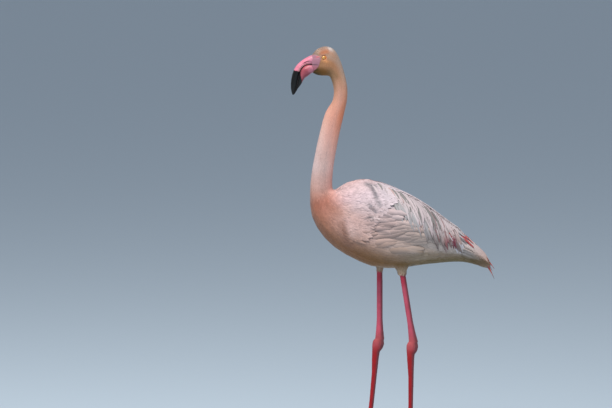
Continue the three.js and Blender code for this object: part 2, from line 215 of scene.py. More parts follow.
def mottle(points, size, seed):
    """Soft random values from -1 to 1, in patches of that size."""
    # Each corner of a cell has a value of its own, mixed from its place and the seed.
    cell = points / size + 1000
    low = np.floor(cell).astype(np.int64)
    part = cell - low
    part = part * part * (3 - 2 * part)
    total = np.zeros(len(points))
    for corner in itertools.product((0, 1), repeat=3):
        at = low + corner
        mix = at[:, 0] * 73856093 ^ at[:, 1] * 19349663 ^ at[:, 2] * 83492791 ^ (seed * 97531)
        mix = ((mix & 0xFFFFFF) * 1103515 + 12345) & 0xFFFFFF
        mix = ((mix ^ (mix >> 11)) * 69069) & 0xFFFFFF
        weight = np.where(corner, part, 1 - part).prod(1)
        total += weight * ((mix >> 4 & 0xFFFF) / 32767.5 - 1)
    return total


def near_line(points, line, width):
    """1 on a line in the side view, falling off over the width."""
    start, end = np.array(line)
    flat = points[:, ::2]
    t = np.clip((flat - start) @ (end - start) / ((end - start) @ (end - start)), 0, 1)
    gap = np.linalg.norm(flat - start - t[:, None] * (end - start), axis=1)
    return np.exp(-((gap / width) ** 2))


# The line of the body from face to tail, through the middle of each slice: x and z.
SPINE = np.array([
    (-0.232, 1.113), (-0.211, 1.119), (-0.190, 1.120), (-0.171, 1.113), (-0.160, 1.098),
    (-0.152, 1.076), (-0.147, 1.050), (-0.146, 1.020), (-0.156, 0.985), (-0.177, 0.915),
    (-0.191, 0.843), (-0.199, 0.775), (-0.187, 0.726), (-0.160, 0.700), (-0.120, 0.684),
    (-0.060, 0.664), (0.0, 0.648), (0.060, 0.634), (0.130, 0.612), (0.190, 0.592),
    (0.240, 0.566), (0.284, 0.520),
])
SPINE_LENGTH = np.concatenate([[0], np.cumsum(np.linalg.norm(np.diff(SPINE, axis=0), axis=1))])
SPINE_SAMPLES = 180
spine_s = np.linspace(0, SPINE_LENGTH[-1], SPINE_SAMPLES)
spine_at = np.stack([np.interp(spine_s, SPINE_LENGTH, SPINE[:, k]) for k in (0, 1)], axis=1)
spine_way = unit(np.gradient(spine_at, axis=0))
NAPE, NECK_FOOT = SPINE_LENGTH[5], SPINE_LENGTH[11]


def by_spine(points, blend=0.022):
    """How far along the spine each point is, the spine's way there, and its back's way."""
    far, ways = [], []
    for part in np.array_split(points, max(1, len(points) // 20000)):
        gap = ((part[:, None, ::2] - spine_at[None]) ** 2).sum(2)
        weight = np.exp(-(gap - gap.min(1, keepdims=True)) / (2 * blend**2))
        weight /= weight.sum(1, keepdims=True)
        far.append(weight @ spine_s)
        ways.append(weight @ spine_way)
    way = unit(np.concatenate(ways))
    along = np.stack([way[:, 0], np.zeros(len(way)), way[:, 1]], axis=1)
    back = np.stack([-way[:, 1], np.zeros(len(way)), way[:, 0]], axis=1)
    return np.concatenate(far), along, back


def from_spine(points, far):
    """The way to each point from the middle of the body at that length."""
    x, z = (np.interp(far, spine_s, spine_at[:, k]) for k in (0, 1))
    return points - np.stack([x, np.zeros(len(far)), z], axis=1)


def round_spine(points, far, back):
    """From 1 along the back, through 0 on the flank, to -1 along the belly."""
    return (unit(from_spine(points, far)) * back).sum(1)


# The bare skin of the face ends on this line: x of the first feathers by height.
FACE_LINE = np.array([
    (1.083, -0.240), (1.089, -0.226), (1.0976, -0.2142), (1.106, -0.207), (1.124, -0.2015),
    (1.133, -0.2035), (1.1375, -0.216), (1.1395, -0.232),
])
# On the forehead a wedge of feathers runs forward to this x.
WEDGE_TIP = -0.2245
# The feathers of each thigh end near the top of its shank, on the left a little above it.
CUFF_RISE = {"left": 7 * MM, "right": 0}
KNEE_TOP = {side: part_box(f"shank_{side}")[1].z + rise for side, rise in CUFF_RISE.items()}
# Everything above the first height is neck and head. Half way up the neck is the second: bare skin
# is the face over it, and the legs under it. The thighs' own feathers and tan start at the third.
NECK_ONLY = 0.80
MID_NECK = 0.90
THIGH_TOP = 0.556


def feathered(points):
    """1 where feathers grow, 0 on the bare face and legs."""
    x, y, z = points.T
    wedge = ramp(np.abs(y), 0.0125, 0.006) * ramp(z, 1.120, 1.130)
    line = np.interp(z, *FACE_LINE.T) * (1 - wedge) + WEDGE_TIP * wedge
    face = ramp(x, line - 0.0012, line + 0.0012)
    knee = np.where(y < 0, KNEE_TOP["left"], KNEE_TOP["right"])
    return np.where(z > MID_NECK, face, ramp(z - knee, -0.002, 0.003))


def wing_share(points):
    """1 where the folded wing and scapulars cover the body."""
    x, _, z = points.T
    edge = np.interp(z, [0.60, 0.70, 0.78], [-0.06, -0.122, -0.062])
    hem = np.interp(x, [-0.10, 0.0, 0.10, 0.14, 0.25], [0.642, 0.612, 0.598, 0.590, 0.592])
    inside = ramp(x, edge - 0.006, edge + 0.010) * ramp(z, hem - 0.004, hem + 0.008)
    return inside * (z < NECK_ONLY + 0.01) * ramp(x, 0.235, 0.215)


# The middle of the right eye and its radius, and half the width and height that the lids leave open.
EYE = Vector((-0.1925, 0.0174, 1.1305))
EYE_RADIUS = 6.5 * MM
LID_OPENING = (4.3 * MM, 3.9 * MM)


def from_eye(points):
    """How far out from the eye in the side view, where 1 is the edge of the lids."""
    across = (points[:, 0] - EYE.x) / LID_OPENING[0]
    return np.hypot(across, (points[:, 2] - EYE.z) / LID_OPENING[1])


def coat_depth(points):
    """How far the skin lies inside the plumage, a little deeper under the wings."""
    far, _, back = by_spine(points)
    x, y, z = points.T
    deep = np.interp(far, [0.02, 0.07, NAPE, 0.30, NECK_FOOT, NECK_FOOT + 0.08],
                     [0.7, 1.0, 0.8, 0.4, 1.0, 2.0])
    ridge = ramp(np.abs(y), 0.055, 0.025) * ramp(x, -0.10, -0.05) * ramp(x, 0.21, 0.16) * (z > 0.64)
    keel = ramp(round_spine(points, far, back), -0.2, -0.7) * ramp(far, 0.43, 0.48) * (z < NECK_ONLY)
    wing_end = ramp(x, 0.218, 0.228) * (z > 0.578)
    deep = deep + 2.4 * np.maximum(wing_share(points), wing_end) - 3.0 * ridge - 3.0 * keel
    leg = ramp(z, 0.56, 0.535)
    near_eye = ramp(from_eye(points), 3.2, 1.8)
    return MM * feathered(points) * (deep * (1 - leg) + 1.6 * leg) * (1 - 0.7 * near_eye)


skin = one_body("skin", FLESH + UNDER_WINGS, swell=0.4 * MM, voxel=1.5 * MM, smoothing=8)
points = points_of(skin.data)
trunk_share = ramp(points[:, 2], 0.545, 0.57) * ramp(points[:, 2], NECK_ONLY, 0.75)
softer = skin.vertex_groups.new(name="trunk")
for weight in range(1, 11):
    members = np.nonzero(np.round(trunk_share * 10).astype(int) == weight)[0]
    softer.add(members.tolist(), weight / 10, "REPLACE")
smooth = skin.modifiers.new("Smooth trunk", "SMOOTH")
smooth.iterations = 60
smooth.vertex_group = softer.name
settled(skin)
points = points_of(skin.data)
points -= normals_of(skin.data) * coat_depth(points)[:, None]
points[:, 2] = np.maximum(points[:, 2], 0)
move_points(skin.data, points)
thin = skin.vertex_groups.new(name="covered")
covered = feathered(points) * ramp(points[:, 2], 0.53, 0.56)
thin.add(np.nonzero(covered > 0.9)[0].tolist(), 1, "REPLACE")
fewer = skin.modifiers.new("Fewer faces under the coat", "DECIMATE")
fewer.ratio = 0.3
fewer.vertex_group = thin.name
settled(skin)


def split_edges(mesh, chosen, rounds=1):
    """Halves the edges of the mesh where chosen(middles) is true."""
    bm = bmesh.new()
    bm.from_mesh(mesh)
    for _ in range(rounds):
        middles = np.array([(e.verts[0].co + e.verts[1].co) / 2 for e in bm.edges])
        picked = [e for e, yes in zip(bm.edges, chosen(middles)) if yes]
        bmesh.ops.subdivide_edges(bm, edges=picked, cuts=1, use_grid_fill=True)
        bmesh.ops.triangulate(bm, faces=[f for f in bm.faces if len(f.verts) > 3])
    bm.to_mesh(mesh)
    bm.free()


# The face is finer: lids round the eyes, the corner of the mouth and the soft bare cheek.
LID_RISE = 0.55 * MM
LID_TUCK = 2.6 * MM
LID_CREASE = 0.35 * MM
GAPE = ((-0.228, 1.1108), (-0.2090, 1.1095))
LORE_FOLDS = [((-0.223, 1.1065), (-0.209, 1.1085)), ((-0.223, 1.128), (-0.206, 1.1295))]
CHEEK_X, CHEEK_Z = -0.2135, 1.1215
CHEEK_RADIUS = 7.5 * MM
FACE_REAR, FACE_FOOT = -0.199, 1.075

split_edges(skin.data, lambda at: (at[:, 2] > FACE_FOOT) & (at[:, 0] < FACE_REAR))
split_edges(skin.data, lambda at: from_eye(at) < 2.1, rounds=2)
points = points_of(skin.data)
out = normals_of(skin.data)
ring = from_eye(points)
x, y, z = points.T
off_axis = np.hypot(x - EYE.x, z - EYE.z)
ball = EYE.y + np.sqrt(np.maximum(EYE_RADIUS**2 - off_axis**2, 0))
near = (ring < 2.2) & (np.abs(y) > 0.012)
lid = ball + LID_RISE - LID_TUCK * ramp(ring, 1.02, 0.82)
crease = LID_CREASE * np.exp(-(((ring - 1.5) / 0.14) ** 2))
share = ramp(ring, 1.95, 1.2)
across = np.abs(y) * (1 - share) + lid * share - crease
points[:, 1] = np.where(near, np.sign(y) * across, y)

cheek = np.hypot(x - CHEEK_X, z - CHEEK_Z) / CHEEK_RADIUS
rise = 0.9 * np.exp(-(cheek**2)) - 0.8 * near_line(points, GAPE, 0.8 * MM)
rise -= sum(0.4 * near_line(points, fold, 0.8 * MM) for fold in LORE_FOLDS)
rise += 0.12 * mottle(points, 0.0022, 21)
bare = (1 - feathered(points)) * (z > MID_NECK) * ramp(ring, 1.9, 2.3)
points += out * (MM * rise * bare)[:, None]

# A thin lip of skin runs forward over the root of the bill.
LIP = -0.2222
LIP_REACH = 1.6 * MM
LIP_THICKNESS = 0.35 * MM
lip = ramp(x, LIP, LIP - 2.5 * MM) * (z > MID_NECK)
points[:, 0] -= LIP_REACH * lip
points += out * (out[:, :1] > -0.6) * (LIP_THICKNESS * lip)[:, None]

# Scutes ring the front of the legs. The finish gives the rest of the skin its small scales.
SCUTE_STEP = 5.6 * MM
SCUTE_RELIEF = 0.28 * MM
shin = (z < 0.50) * (z > 0.03) * ramp(out[:, 0], 0.1, -0.5)
rung = np.abs(np.sin(math.pi * z / SCUTE_STEP)) ** 0.5
points += out * (shin * SCUTE_RELIEF * (rung - 0.7))[:, None]
points[:, 2] = np.maximum(points[:, 2], 0)
move_points(skin.data, points)


# Finish of the skin: the coat's colours under the feathers, mauve on the face, crimson on the legs.
def mixed(low, high, share):
    """Colours from low to high, with a share for each place."""
    share = share[..., None]
    return np.asarray(low) * (1 - share) + np.asarray(high) * share


# Colours of the coat from face to tail: length along the spine, then back, flank and belly.
# The dark olive of the belly column is painted shade under the body.
COAT_COLOURS = [
    (0.00, (0.32, 0.22, 0.18), (0.40, 0.25, 0.18), (0.12, 0.07, 0.015)),
    (0.03, (0.29, 0.20, 0.165), (0.36, 0.175, 0.085), (0.15, 0.068, 0.010)),
    (0.06, (0.37, 0.27, 0.22), (0.38, 0.18, 0.09), (0.22, 0.09, 0.012)),
    (0.10, (0.52, 0.34, 0.25), (0.45, 0.24, 0.14), (0.26, 0.145, 0.06)),
    (0.15, (0.73, 0.34, 0.22), (0.60, 0.31, 0.23), (0.54, 0.27, 0.18)),
    (0.21, (0.88, 0.30, 0.16), (0.68, 0.32, 0.24), (0.68, 0.35, 0.27)),
    (0.28, (0.88, 0.45, 0.35), (0.60, 0.345, 0.30), (0.64, 0.42, 0.38)),
    (0.36, (0.85, 0.53, 0.475), (0.54, 0.385, 0.365), (0.60, 0.455, 0.45)),
    (0.41, (0.66, 0.36, 0.31), (0.51, 0.31, 0.275), (0.50, 0.30, 0.26)),
    (0.45, (0.62, 0.32, 0.28), (0.34, 0.125, 0.087), (0.28, 0.10, 0.06)),
    (0.49, (0.58, 0.41, 0.44), (0.42, 0.20, 0.15), (0.31, 0.125, 0.065)),
    (0.54, (0.56, 0.44, 0.48), (0.62, 0.405, 0.375), (0.28, 0.115, 0.045)),
    (0.62, (0.60, 0.51, 0.56), (0.62, 0.45, 0.42), (0.23, 0.10, 0.028)),
    (0.75, (0.64, 0.54, 0.57), (0.54, 0.42, 0.36), (0.17, 0.10, 0.03)),
    (0.86, (0.58, 0.51, 0.53), (0.58, 0.49, 0.46), (0.13, 0.09, 0.025)),
    (0.92, (0.52, 0.38, 0.36), (0.46, 0.335, 0.28), (0.18, 0.11, 0.05)),
    (0.96, (0.45, 0.28, 0.22), (0.43, 0.26, 0.20), (0.27, 0.15, 0.09)),
]
# Local marks in the side view: start, end, width, colour and strength.
MARKS = [
    ((-0.200, 1.143), (-0.186, 1.147), 8 * MM, (0.42, 0.135, 0.05), 0.85),
    ((-0.194, 1.1215), (-0.187, 1.1205), 4.5 * MM, (0.62, 0.27, 0.11), 0.75),
    # A painted highlight on the crown.
    ((-0.179, 1.157), (-0.175, 1.153), 4.5 * MM, (0.62, 0.56, 0.55), 0.8),
    ((-0.214, 1.152), (-0.209, 1.148), 6 * MM, (0.44, 0.32, 0.245), 0.7),
    ((-0.172, 1.142), (-0.163, 1.133), 6 * MM, (0.40, 0.18, 0.10), 0.5),
    # Painted shade under the root of the bill, on the throat.
    ((-0.219, 1.0950), (-0.2105, 1.0972), 3 * MM, (0.06, 0.04, 0.008), 0.85),
    ((-0.220, 1.0860), (-0.207, 1.0830), 4 * MM, (0.07, 0.05, 0.005), 0.8),
    ((-0.181, 1.137), (-0.165, 1.133), 5 * MM, (0.34, 0.21, 0.14), 0.5),
    ((-0.176, 1.096), (-0.160, 1.082), 9 * MM, (0.20, 0.12, 0.05), 0.6),
    ((-0.140, 0.765), (-0.060, 0.782), 20 * MM, (0.59, 0.44, 0.46), 0.9),
    ((-0.074, 0.776), (-0.050, 0.768), 5 * MM, (0.13, 0.13, 0.15), 0.95),
    ((-0.058, 0.764), (-0.046, 0.746), 5 * MM, (0.10, 0.10, 0.12), 1.0),
    ((-0.048, 0.744), (-0.036, 0.722), 5.5 * MM, (0.20, 0.19, 0.21), 0.85),
    ((-0.064, 0.722), (-0.046, 0.706), 5 * MM, (0.15, 0.14, 0.16), 0.95),
    ((-0.070, 0.689), (-0.058, 0.692), 4 * MM, (0.12, 0.11, 0.12), 0.9),
    # A painted highlight on the top row of coverts.
    ((-0.054, 0.688), (-0.022, 0.685), 6 * MM, (0.72, 0.60, 0.60), 0.6),
    # A painted shadow along the front edge of the folded wing.
    ((-0.144, 0.670), (-0.132, 0.618), 12 * MM, (0.28, 0.135, 0.095), 0.9),
    ((-0.119, 0.695), (-0.114, 0.640), 7 * MM, (0.68, 0.47, 0.44), 0.5),
    # Painted shade on the flank under the folded wing, in two parts.
    ((0.030, 0.577), (0.080, 0.584), 11 * MM, (0.28, 0.20, 0.13), 0.75),
    ((0.085, 0.585), (0.170, 0.583), 12 * MM, (0.26, 0.18, 0.11), 0.85),
    # Pinker and lighter along the ridge of the back: partly its colour, partly painted light on the top
    # edge.
    ((0.020, 0.767), (0.100, 0.722), 4.5 * MM, (0.86, 0.56, 0.50), 0.55),
    ((-0.207, 0.866), (-0.199, 0.872), 1.6 * MM, (0.30, 0.18, 0.155), 0.6),
    ((-0.204, 0.855), (-0.196, 0.861), 1.6 * MM, (0.30, 0.18, 0.155), 0.6),
    ((-0.207, 0.845), (-0.200, 0.850), 1.6 * MM, (0.32, 0.20, 0.17), 0.5),
]
THIGH_TAN = (0.50, 0.365, 0.265)


def coat_colour(points):
    """The plumage's colour at a place: soft bands round the body, mottled with rust, with painted shade
    underneath and in some marks, and painted light in others.
    """
    far, _, back = by_spine(points)
    side = round_spine(points, far, back)
    x, _, z = points.T
    stations = [row[0] for row in COAT_COLOURS]
    upper, flank, lower = (
        np.stack([np.interp(far, stations, [row[k][c] for row in COAT_COLOURS]) for c in range(3)], 1)
        for k in (1, 2, 3)
    )
    # The belly's colours, with their painted shade, take the underside and the band below the rim of the
    # trunk.
    down = ramp(side, np.interp(far, [0.09, 0.15, 0.60, 0.80], [-0.45, -0.15, -0.15, -0.5]), -0.9)
    rim = np.interp(x, [0.0, 0.05, 0.10, 0.22, 0.24, 0.27], [0.547, 0.562, 0.576, 0.581, 0.577, 0.560])
    below_rim = ramp(z, rim + 0.005, rim - 0.004) * ramp(x, -0.02, 0.04) * (z < NECK_ONLY)
    down = np.maximum(down, below_rim)[:, None]
    up = ramp(side, 0.05, 0.85)[:, None] * (1 - down)
    colour = upper * up + lower * down + flank * (1 - up - down)
    for start, end, width, mark, strength in MARKS:
        colour = mixed(colour, mark, strength * near_line(points, (start, end), width))
    colour = mixed(colour, THIGH_TAN, 0.8 * ramp(z, THIGH_TOP, 0.540))
    chest = ramp(far, 0.36, 0.45) * ramp(far, 0.60, 0.50)
    spots = 0.6 * mottle(points, 0.011, 3) + 0.5 * mottle(points, 0.005, 4)
    colour = colour * (1 + (0.05 + 0.20 * chest) * spots)[:, None]
    blotch = mottle(points, 0.04, 5)[:, None]
    return np.clip(colour * (1 + blotch * (0.02, 0.05, 0.05)), 0.01, 0.97)


FACE_MAUVE = (0.34, 0.16, 0.21)
FACE_PINK = (0.385, 0.13, 0.165)
LORE_STREAK = ((-0.213, 1.1315), (-0.2025, 1.1345))
LORE_RED = (0.55, 0.12, 0.14)
LID_ORANGE = (0.62, 0.26, 0.10)
ANKLE = 0.335
LEG_CRIMSON = (0.54, 0.083, 0.134)
ANKLE_PINK = (0.44, 0.080, 0.090)
TARSUS_RED = (0.34, 0.008, 0.012)
LEG_SHADE = (0.16, 0.05, 0.06)
FOOT_PINK = (0.60, 0.20, 0.24)


def skin_colour(points):
    """The coat's colour where feathers grow, mauve on the bare face and red down the legs."""
    z = points[:, 2]
    face = mixed(FACE_MAUVE, FACE_PINK, ramp(z, 1.112, 1.100))
    face = mixed(face, LORE_RED, near_line(points, LORE_STREAK, 1.7 * MM))
    lid = ramp(from_eye(points), 2.0, 1.7)
    face = mixed(face, LID_ORANGE, lid)
    # Painted shade darkens the crease at the corner of the mouth.
    face = face * (1 - 0.5 * near_line(points, GAPE, 1.6 * MM))[:, None]
    leg = mixed(LEG_CRIMSON, TARSUS_RED, ramp(z, ANKLE, ANKLE - 0.025))
    # Just under its feathers the shank is a deeper red.
    leg = leg * (1 - ramp(z, 0.480, 0.510)[:, None] * (0.12, 0.55, 0.46))
    # The left shank is a little deeper in colour than the right, and the right one is painted lighter,
    # as painted light where the body's shadow falls on it.
    deeper_left_lighter_right = np.where(points[:, 1] < 0, 0.13, -0.08) * ramp(z, ANKLE, ANKLE + 0.020)
    leg = leg * (1 - deeper_left_lighter_right)[:, None]
    leg = mixed(leg, ANKLE_PINK, np.exp(-(((z - ANKLE + 0.003) / 0.022) ** 2)))
    leg = mixed(leg, LEG_SHADE, 0.75 * ramp(normals_of(skin.data)[:, 0], 0.0, 0.5) * (z > 0.05))
    leg = mixed(leg, FOOT_PINK, ramp(z, 0.05, 0.015))
    leg = leg * (1 + 0.12 * mottle(points, 0.009, 7))[:, None]
    bare = np.where((z > MID_NECK)[:, None], face, leg)
    return mixed(bare, coat_colour(points), feathered(points) * (1 - lid))


def paint(mesh, name, colours):
    """Stores a colour for each point of the mesh under that name."""
    layer = mesh.color_attributes.new(name, "FLOAT_COLOR", "POINT")
    rgba = np.ones((len(colours), 4), np.float32)
    rgba[:, :3] = colours
    layer.data.foreach_set("color", rgba.ravel())


def node(tree, kind, **sockets):
    """A new node with its sockets fed."""
    return wire(tree, tree.nodes.new("ShaderNode" + kind), **sockets)


def painted_colour(tree, name):
    """The colours painted on the piece under that name."""
    tint = node(tree, "Attribute")
    tint.attribute_name = name
    return tint.outputs["Color"]


def own_place(tree):
    """Each point's own place on the piece."""
    return node(tree, "TexCoord").outputs["Object"]


def in_relief(tree, shader, height, strength, depth):
    """Lets the height shade the surface as fine relief."""
    bump = node(tree, "Bump", Height=height, Strength=strength, Distance=depth)
    wire(tree, shader, Normal=bump.outputs["Normal"])


def clad(piece, finish):
    """Gives the piece one finish all over and shades it smooth."""
    piece.data.materials.clear()
    piece.data.materials.append(finish)
    piece.data.polygons.foreach_set("use_smooth", [True] * len(piece.data.polygons))


paint(skin.data, "Skin", skin_colour(points_of(skin.data)))
skin_finish, tree, shader = finish_of("Bird skin", roughness=0.48, Specular_IOR_Level=0.28)
scales = node(tree, "TexVoronoi", Vector=own_place(tree), Scale=330)
wire(tree, shader, Base_Color=painted_colour(tree, "Skin"))
in_relief(tree, shader, scales.outputs["Distance"], strength=0.35, depth=0.6 * MM)
clad(skin, skin_finish)
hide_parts(*FLESH)
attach(skin, "root")

# ---------------------------------------------------------------- Eyes
# Each eye is a ball behind the lids, with a small dark pupil in a yellow iris. A clear coat makes it
# wet, and it bulges a little over the iris, as the cornea does.
IRIS_RADIUS = 3.9 * MM
CORNEA_BULGE = 0.45 * MM
# Rings of colour from the middle of the eye: share of their reach, and colour.
RINGS_REACH = 5 * MM
EYE_RINGS = [(0, (0.004, 0.003, 0.003)), (0.20, (0.004, 0.003, 0.003)), (0.24, (0.30, 0.10, 0.01)),
             (0.34, (0.78, 0.42, 0.07)), (0.62, (0.86, 0.47, 0.10)), (0.78, (0.62, 0.25, 0.05)),
             (0.86, (0.10, 0.04, 0.02)), (1, (0.05, 0.02, 0.02))]


def reckoned(tree, kind, *values):
    """The result of a sum in the material."""
    made = node(tree, "Math")
    made.operation = kind
    for socket, value in zip(made.inputs, values):
        feed(tree, socket, value)
    return made.outputs["Value"]


def banded(tree, share, bands):
    """Colours along a share from 0 to 1: rows of place and colour."""
    scale = node(tree, "ValToRGB", Fac=share)
    while len(scale.color_ramp.elements) < len(bands):
        scale.color_ramp.elements.new(1)
    for element, (place, colour) in zip(scale.color_ramp.elements, bands):
        element.position = place
        element.color = (*colour, 1)
    return scale.outputs["Color"]


eye_finish, tree, shader = finish_of("Wet eye", roughness=0.06, Specular_IOR_Level=0.6,
                                     Coat_Weight=0.6, Coat_Roughness=0.03)
centred = node(tree, "Mapping", Vector=own_place(tree), Location=(-EYE.x, 0, -EYE.z), Scale=(1, 0, 1))
off_axis = node(tree, "VectorMath", Vector=centred.outputs["Vector"])
off_axis.operation = "LENGTH"
share = reckoned(tree, "DIVIDE", off_axis.outputs["Value"], RINGS_REACH)
wire(tree, shader, Base_Color=banded(tree, share, EYE_RINGS))

for side, sign in SIDES.items():
    bm = bmesh.new()
    bmesh.ops.create_uvsphere(bm, u_segments=40, v_segments=36, radius=EYE_RADIUS)
    for vertex in bm.verts:
        vertex.co.y, vertex.co.z = vertex.co.z * sign, -vertex.co.y * sign
        off = math.hypot(vertex.co.x, vertex.co.z)
        if off < IRIS_RADIUS and vertex.co.y * sign > 0:
            vertex.co.y += sign * CORNEA_BULGE * (1 - (off / IRIS_RADIUS) ** 2)
        vertex.co += Vector((EYE.x, EYE.y * sign, EYE.z))
    bmesh.ops.recalc_face_normals(bm, faces=bm.faces)
    mesh = bpy.data.meshes.new(f"eyeball_{side}")
    bm.to_mesh(mesh)
    bm.free()
    eyeball = linked(bpy.data.objects.new(f"eyeball_{side}", mesh))
    clad(eyeball, eye_finish)
    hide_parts(f"eye_{side}")
    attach(eyeball, "root")

# ---------------------------------------------------------------- Bill
# The bill is horn over bone: a thin upper half like a lid and a deep lower half like a trough, both
# bent sharply down in the middle. Their black tips are one piece with the pink. A near-black lining
# fills the line of the mouth as painted shade.
UPPER_PINK = (0.68, 0.20, 0.29)
UPPER_RIM_HIGHLIGHT = (0.72, 0.38, 0.36)
LOWER_PINK = (0.52, 0.125, 0.165)
LOWER_DEEP = (0.27, 0.055, 0.075)
BASE_MAUVE = (0.48, 0.22, 0.30)
BILL_BLACK = (0.001, 0.004, 0.004)
MOUTH_SHADE = (0.012, 0.006, 0.007)


def chained(*places):
    """The lines that join the places one after another."""
    return list(zip(places, places[1:]))


NOSTRIL = chained((-0.2460, 1.1155), (-0.2400, 1.1185), (-0.2340, 1.1196))
NOSTRIL_ENDS = [((-0.2340, 1.1196), (-0.2262, 1.1180)), ((-0.2490, 1.1125), (-0.2460, 1.1155))]
SIDE_GROOVE = chained((-0.2468, 1.1148), (-0.2625, 1.1045), (-0.2705, 1.0930), (-0.2775, 1.0620))
LOWER_GROOVE = chained((-0.2290, 1.1035), (-0.2480, 1.1010), (-0.2570, 1.0890))
MOUTH_LINE = chained((-0.2230, 1.1112), (-0.2394, 1.1108), (-0.2500, 1.1055), (-0.2585, 1.0960),
                     (-0.2640, 1.0760), (-0.2700, 1.0400))


def near_lines(points, lines, width):
    """1 on any of the lines, falling off over the width."""
    return np.max([near_line(points, line, width) for line in lines], axis=0)


def bill_colour(points, upper):
    """Pink horn with a mauve base and a painted rim highlight, black beyond a wavy edge, painted shade in
    the nostril.
    """
    x, _, z = points.T
    wave = 0.8 * MM * mottle(points, 0.004, 31)
    base = ramp(x, -0.240, -0.2265)
    if upper:
        # Paler along the line of the mouth: a painted highlight on the rim of the upper half.
        pink = mixed(UPPER_PINK, UPPER_RIM_HIGHLIGHT, near_lines(points, MOUTH_LINE, 4.2 * MM))
        pink = mixed(pink, BASE_MAUVE, 0.6 * base)
        # Painted shade darkens the nostril and its ends.
        dark = 1.1 * near_lines(points, NOSTRIL, 1.0 * MM)
        dark += 0.45 * near_lines(points, NOSTRIL_ENDS, 0.7 * MM)
        pink = pink * (1 - np.clip(dark, 0, 1))[:, None]
        slope = 0.24 * (x + 0.2763)
        black = ramp(z + wave, 1.0958 - slope, 1.0938 - slope)
    else:
        slope = 0.55 * (x + 0.225)
        pink = mixed(LOWER_PINK, LOWER_DEEP, 0.8 * ramp(z, 1.1005 - slope, 1.0790 - slope))
        pink = mixed(pink, BASE_MAUVE, 0.5 * base)
        edge = -0.2578 + 0.135 * (1.0904 - z)
        black = ramp(x + wave, edge + 0.0010, edge - 0.0012)
    pink = pink * (1 + 0.14 * mottle(points, 0.006, 33) + 0.07 * mottle(points, 0.0018, 34))[:, None]
    return np.clip(mixed(pink, BILL_BLACK, black), 0.004, 1)


horn_finish, tree, shader = finish_of("Bill horn", roughness=0.36, Specular_IOR_Level=0.36)
stretched = node(tree, "Mapping", Vector=own_place(tree), Scale=(260, 700, 260))
grain = node(tree, "TexNoise", Vector=stretched.outputs["Vector"], Detail=4, Roughness=0.6, Scale=1.0)
wire(tree, shader, Base_Color=painted_colour(tree, "Horn"))
in_relief(tree, shader, grain.outputs["Fac"], strength=0.30, depth=0.4 * MM)

for half in ("upper", "lower"):
    parts = [f"bill_{half}", f"bill_tip_{half}"]
    bill = one_body(f"{half}_bill", parts, swell=0.2 * MM, voxel=0.75 * MM, smoothing=24)
    points, out = points_of(bill.data), normals_of(bill.data)
    root = ramp(points[:, 0], -0.2275, -0.2250)
    if half == "upper":
        rise = -2.1 * near_lines(points, NOSTRIL, 0.8 * MM)
        rise -= 0.7 * near_lines(points, NOSTRIL_ENDS, 0.9 * MM)
        rise -= 0.45 * near_lines(points, SIDE_GROOVE, 1.1 * MM)
        rise += 0.35 * near_lines(points, MOUTH_LINE, 2.0 * MM)
    else:
        rise = -0.5 * near_lines(points, LOWER_GROOVE, 1.3 * MM)
        rise += 0.30 * near_lines(points, MOUTH_LINE, 2.0 * MM)
    points += out * (MM * rise * (1 - root) * (np.abs(points[:, 1]) > 2 * MM))[:, None]
    points[:, 0] += 4 * MM * root
    move_points(bill.data, points)
    paint(bill.data, "Horn", bill_colour(points, half == "upper"))
    clad(bill, horn_finish)
    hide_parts(*parts)
    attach(bill, "root")

BILL_NODES = [f"bill_{part}{half}" for part in ("", "tip_") for half in ("upper", "lower")]
lining = one_body("mouth_lining", BILL_NODES, swell=0.9 * MM, voxel=1.2 * MM, smoothing=30)
points = points_of(lining.data)
points -= normals_of(lining.data) * 2.1 * MM
points[:, 0] += 1.5 * MM
move_points(lining.data, points)
# The lining is near black: painted shade in the line of the mouth.
clad(lining, finish_of("Mouth lining", roughness=0.6, colour=MOUTH_SHADE)[0])
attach(lining, "root")

# ---------------------------------------------------------------- Claws
# A short blunt claw of dark horn caps each front toe.
CLAW_SHADES = [(0, (0.05, 0.03, 0.03)), (1, (0.16, 0.09, 0.08))]
claw_finish, tree, shader = finish_of("Claw horn", roughness=0.4)
grain = node(tree, "TexNoise", Vector=own_place(tree), Scale=420, Detail=3)
wire(tree, shader, Base_Color=banded(tree, grain.outputs["Fac"], CLAW_SHADES))
for side in SIDES:
    parts = [f"claw_{toe}_{side}" for toe in ("inner", "middle", "outer")]
    claws = one_body(f"claws_{side}", parts, swell=0.1 * MM, voxel=0.6 * MM, smoothing=4)
    clad(claws, claw_finish)
    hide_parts(*parts)
    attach(claws, "root")

# ---------------------------------------------------------------- Body feathers
# Small soft feathers cover the head, neck, breast, belly, rump and thighs. Each is a thin closed vane
# that leaves the skin at its root, follows the lie of the coat and overlaps the next like a slate.
rng = np.random.default_rng(11)
bm = bmesh.new()
bm.from_mesh(skin.data)
bmesh.ops.triangulate(bm, faces=bm.faces)
skin_tree = BVHTree.FromBMesh(bm)
skin_corners = np.array([[v.index for v in face.verts] for face in bm.faces])
bm.free()
skin_points = points_of(skin.data)
skin_normals = unit(normals_of(skin.data)[skin_corners].mean(1))


def onto_skin(points):
    """The nearest places on the skin, with its way out there."""
    places, faces = np.empty_like(points), np.empty(len(points), int)
    for k, point in enumerate(points.tolist()):
        place, _, face, _ = skin_tree.find_nearest(point)
        places[k], faces[k] = place, face
    return places, skin_normals[faces]


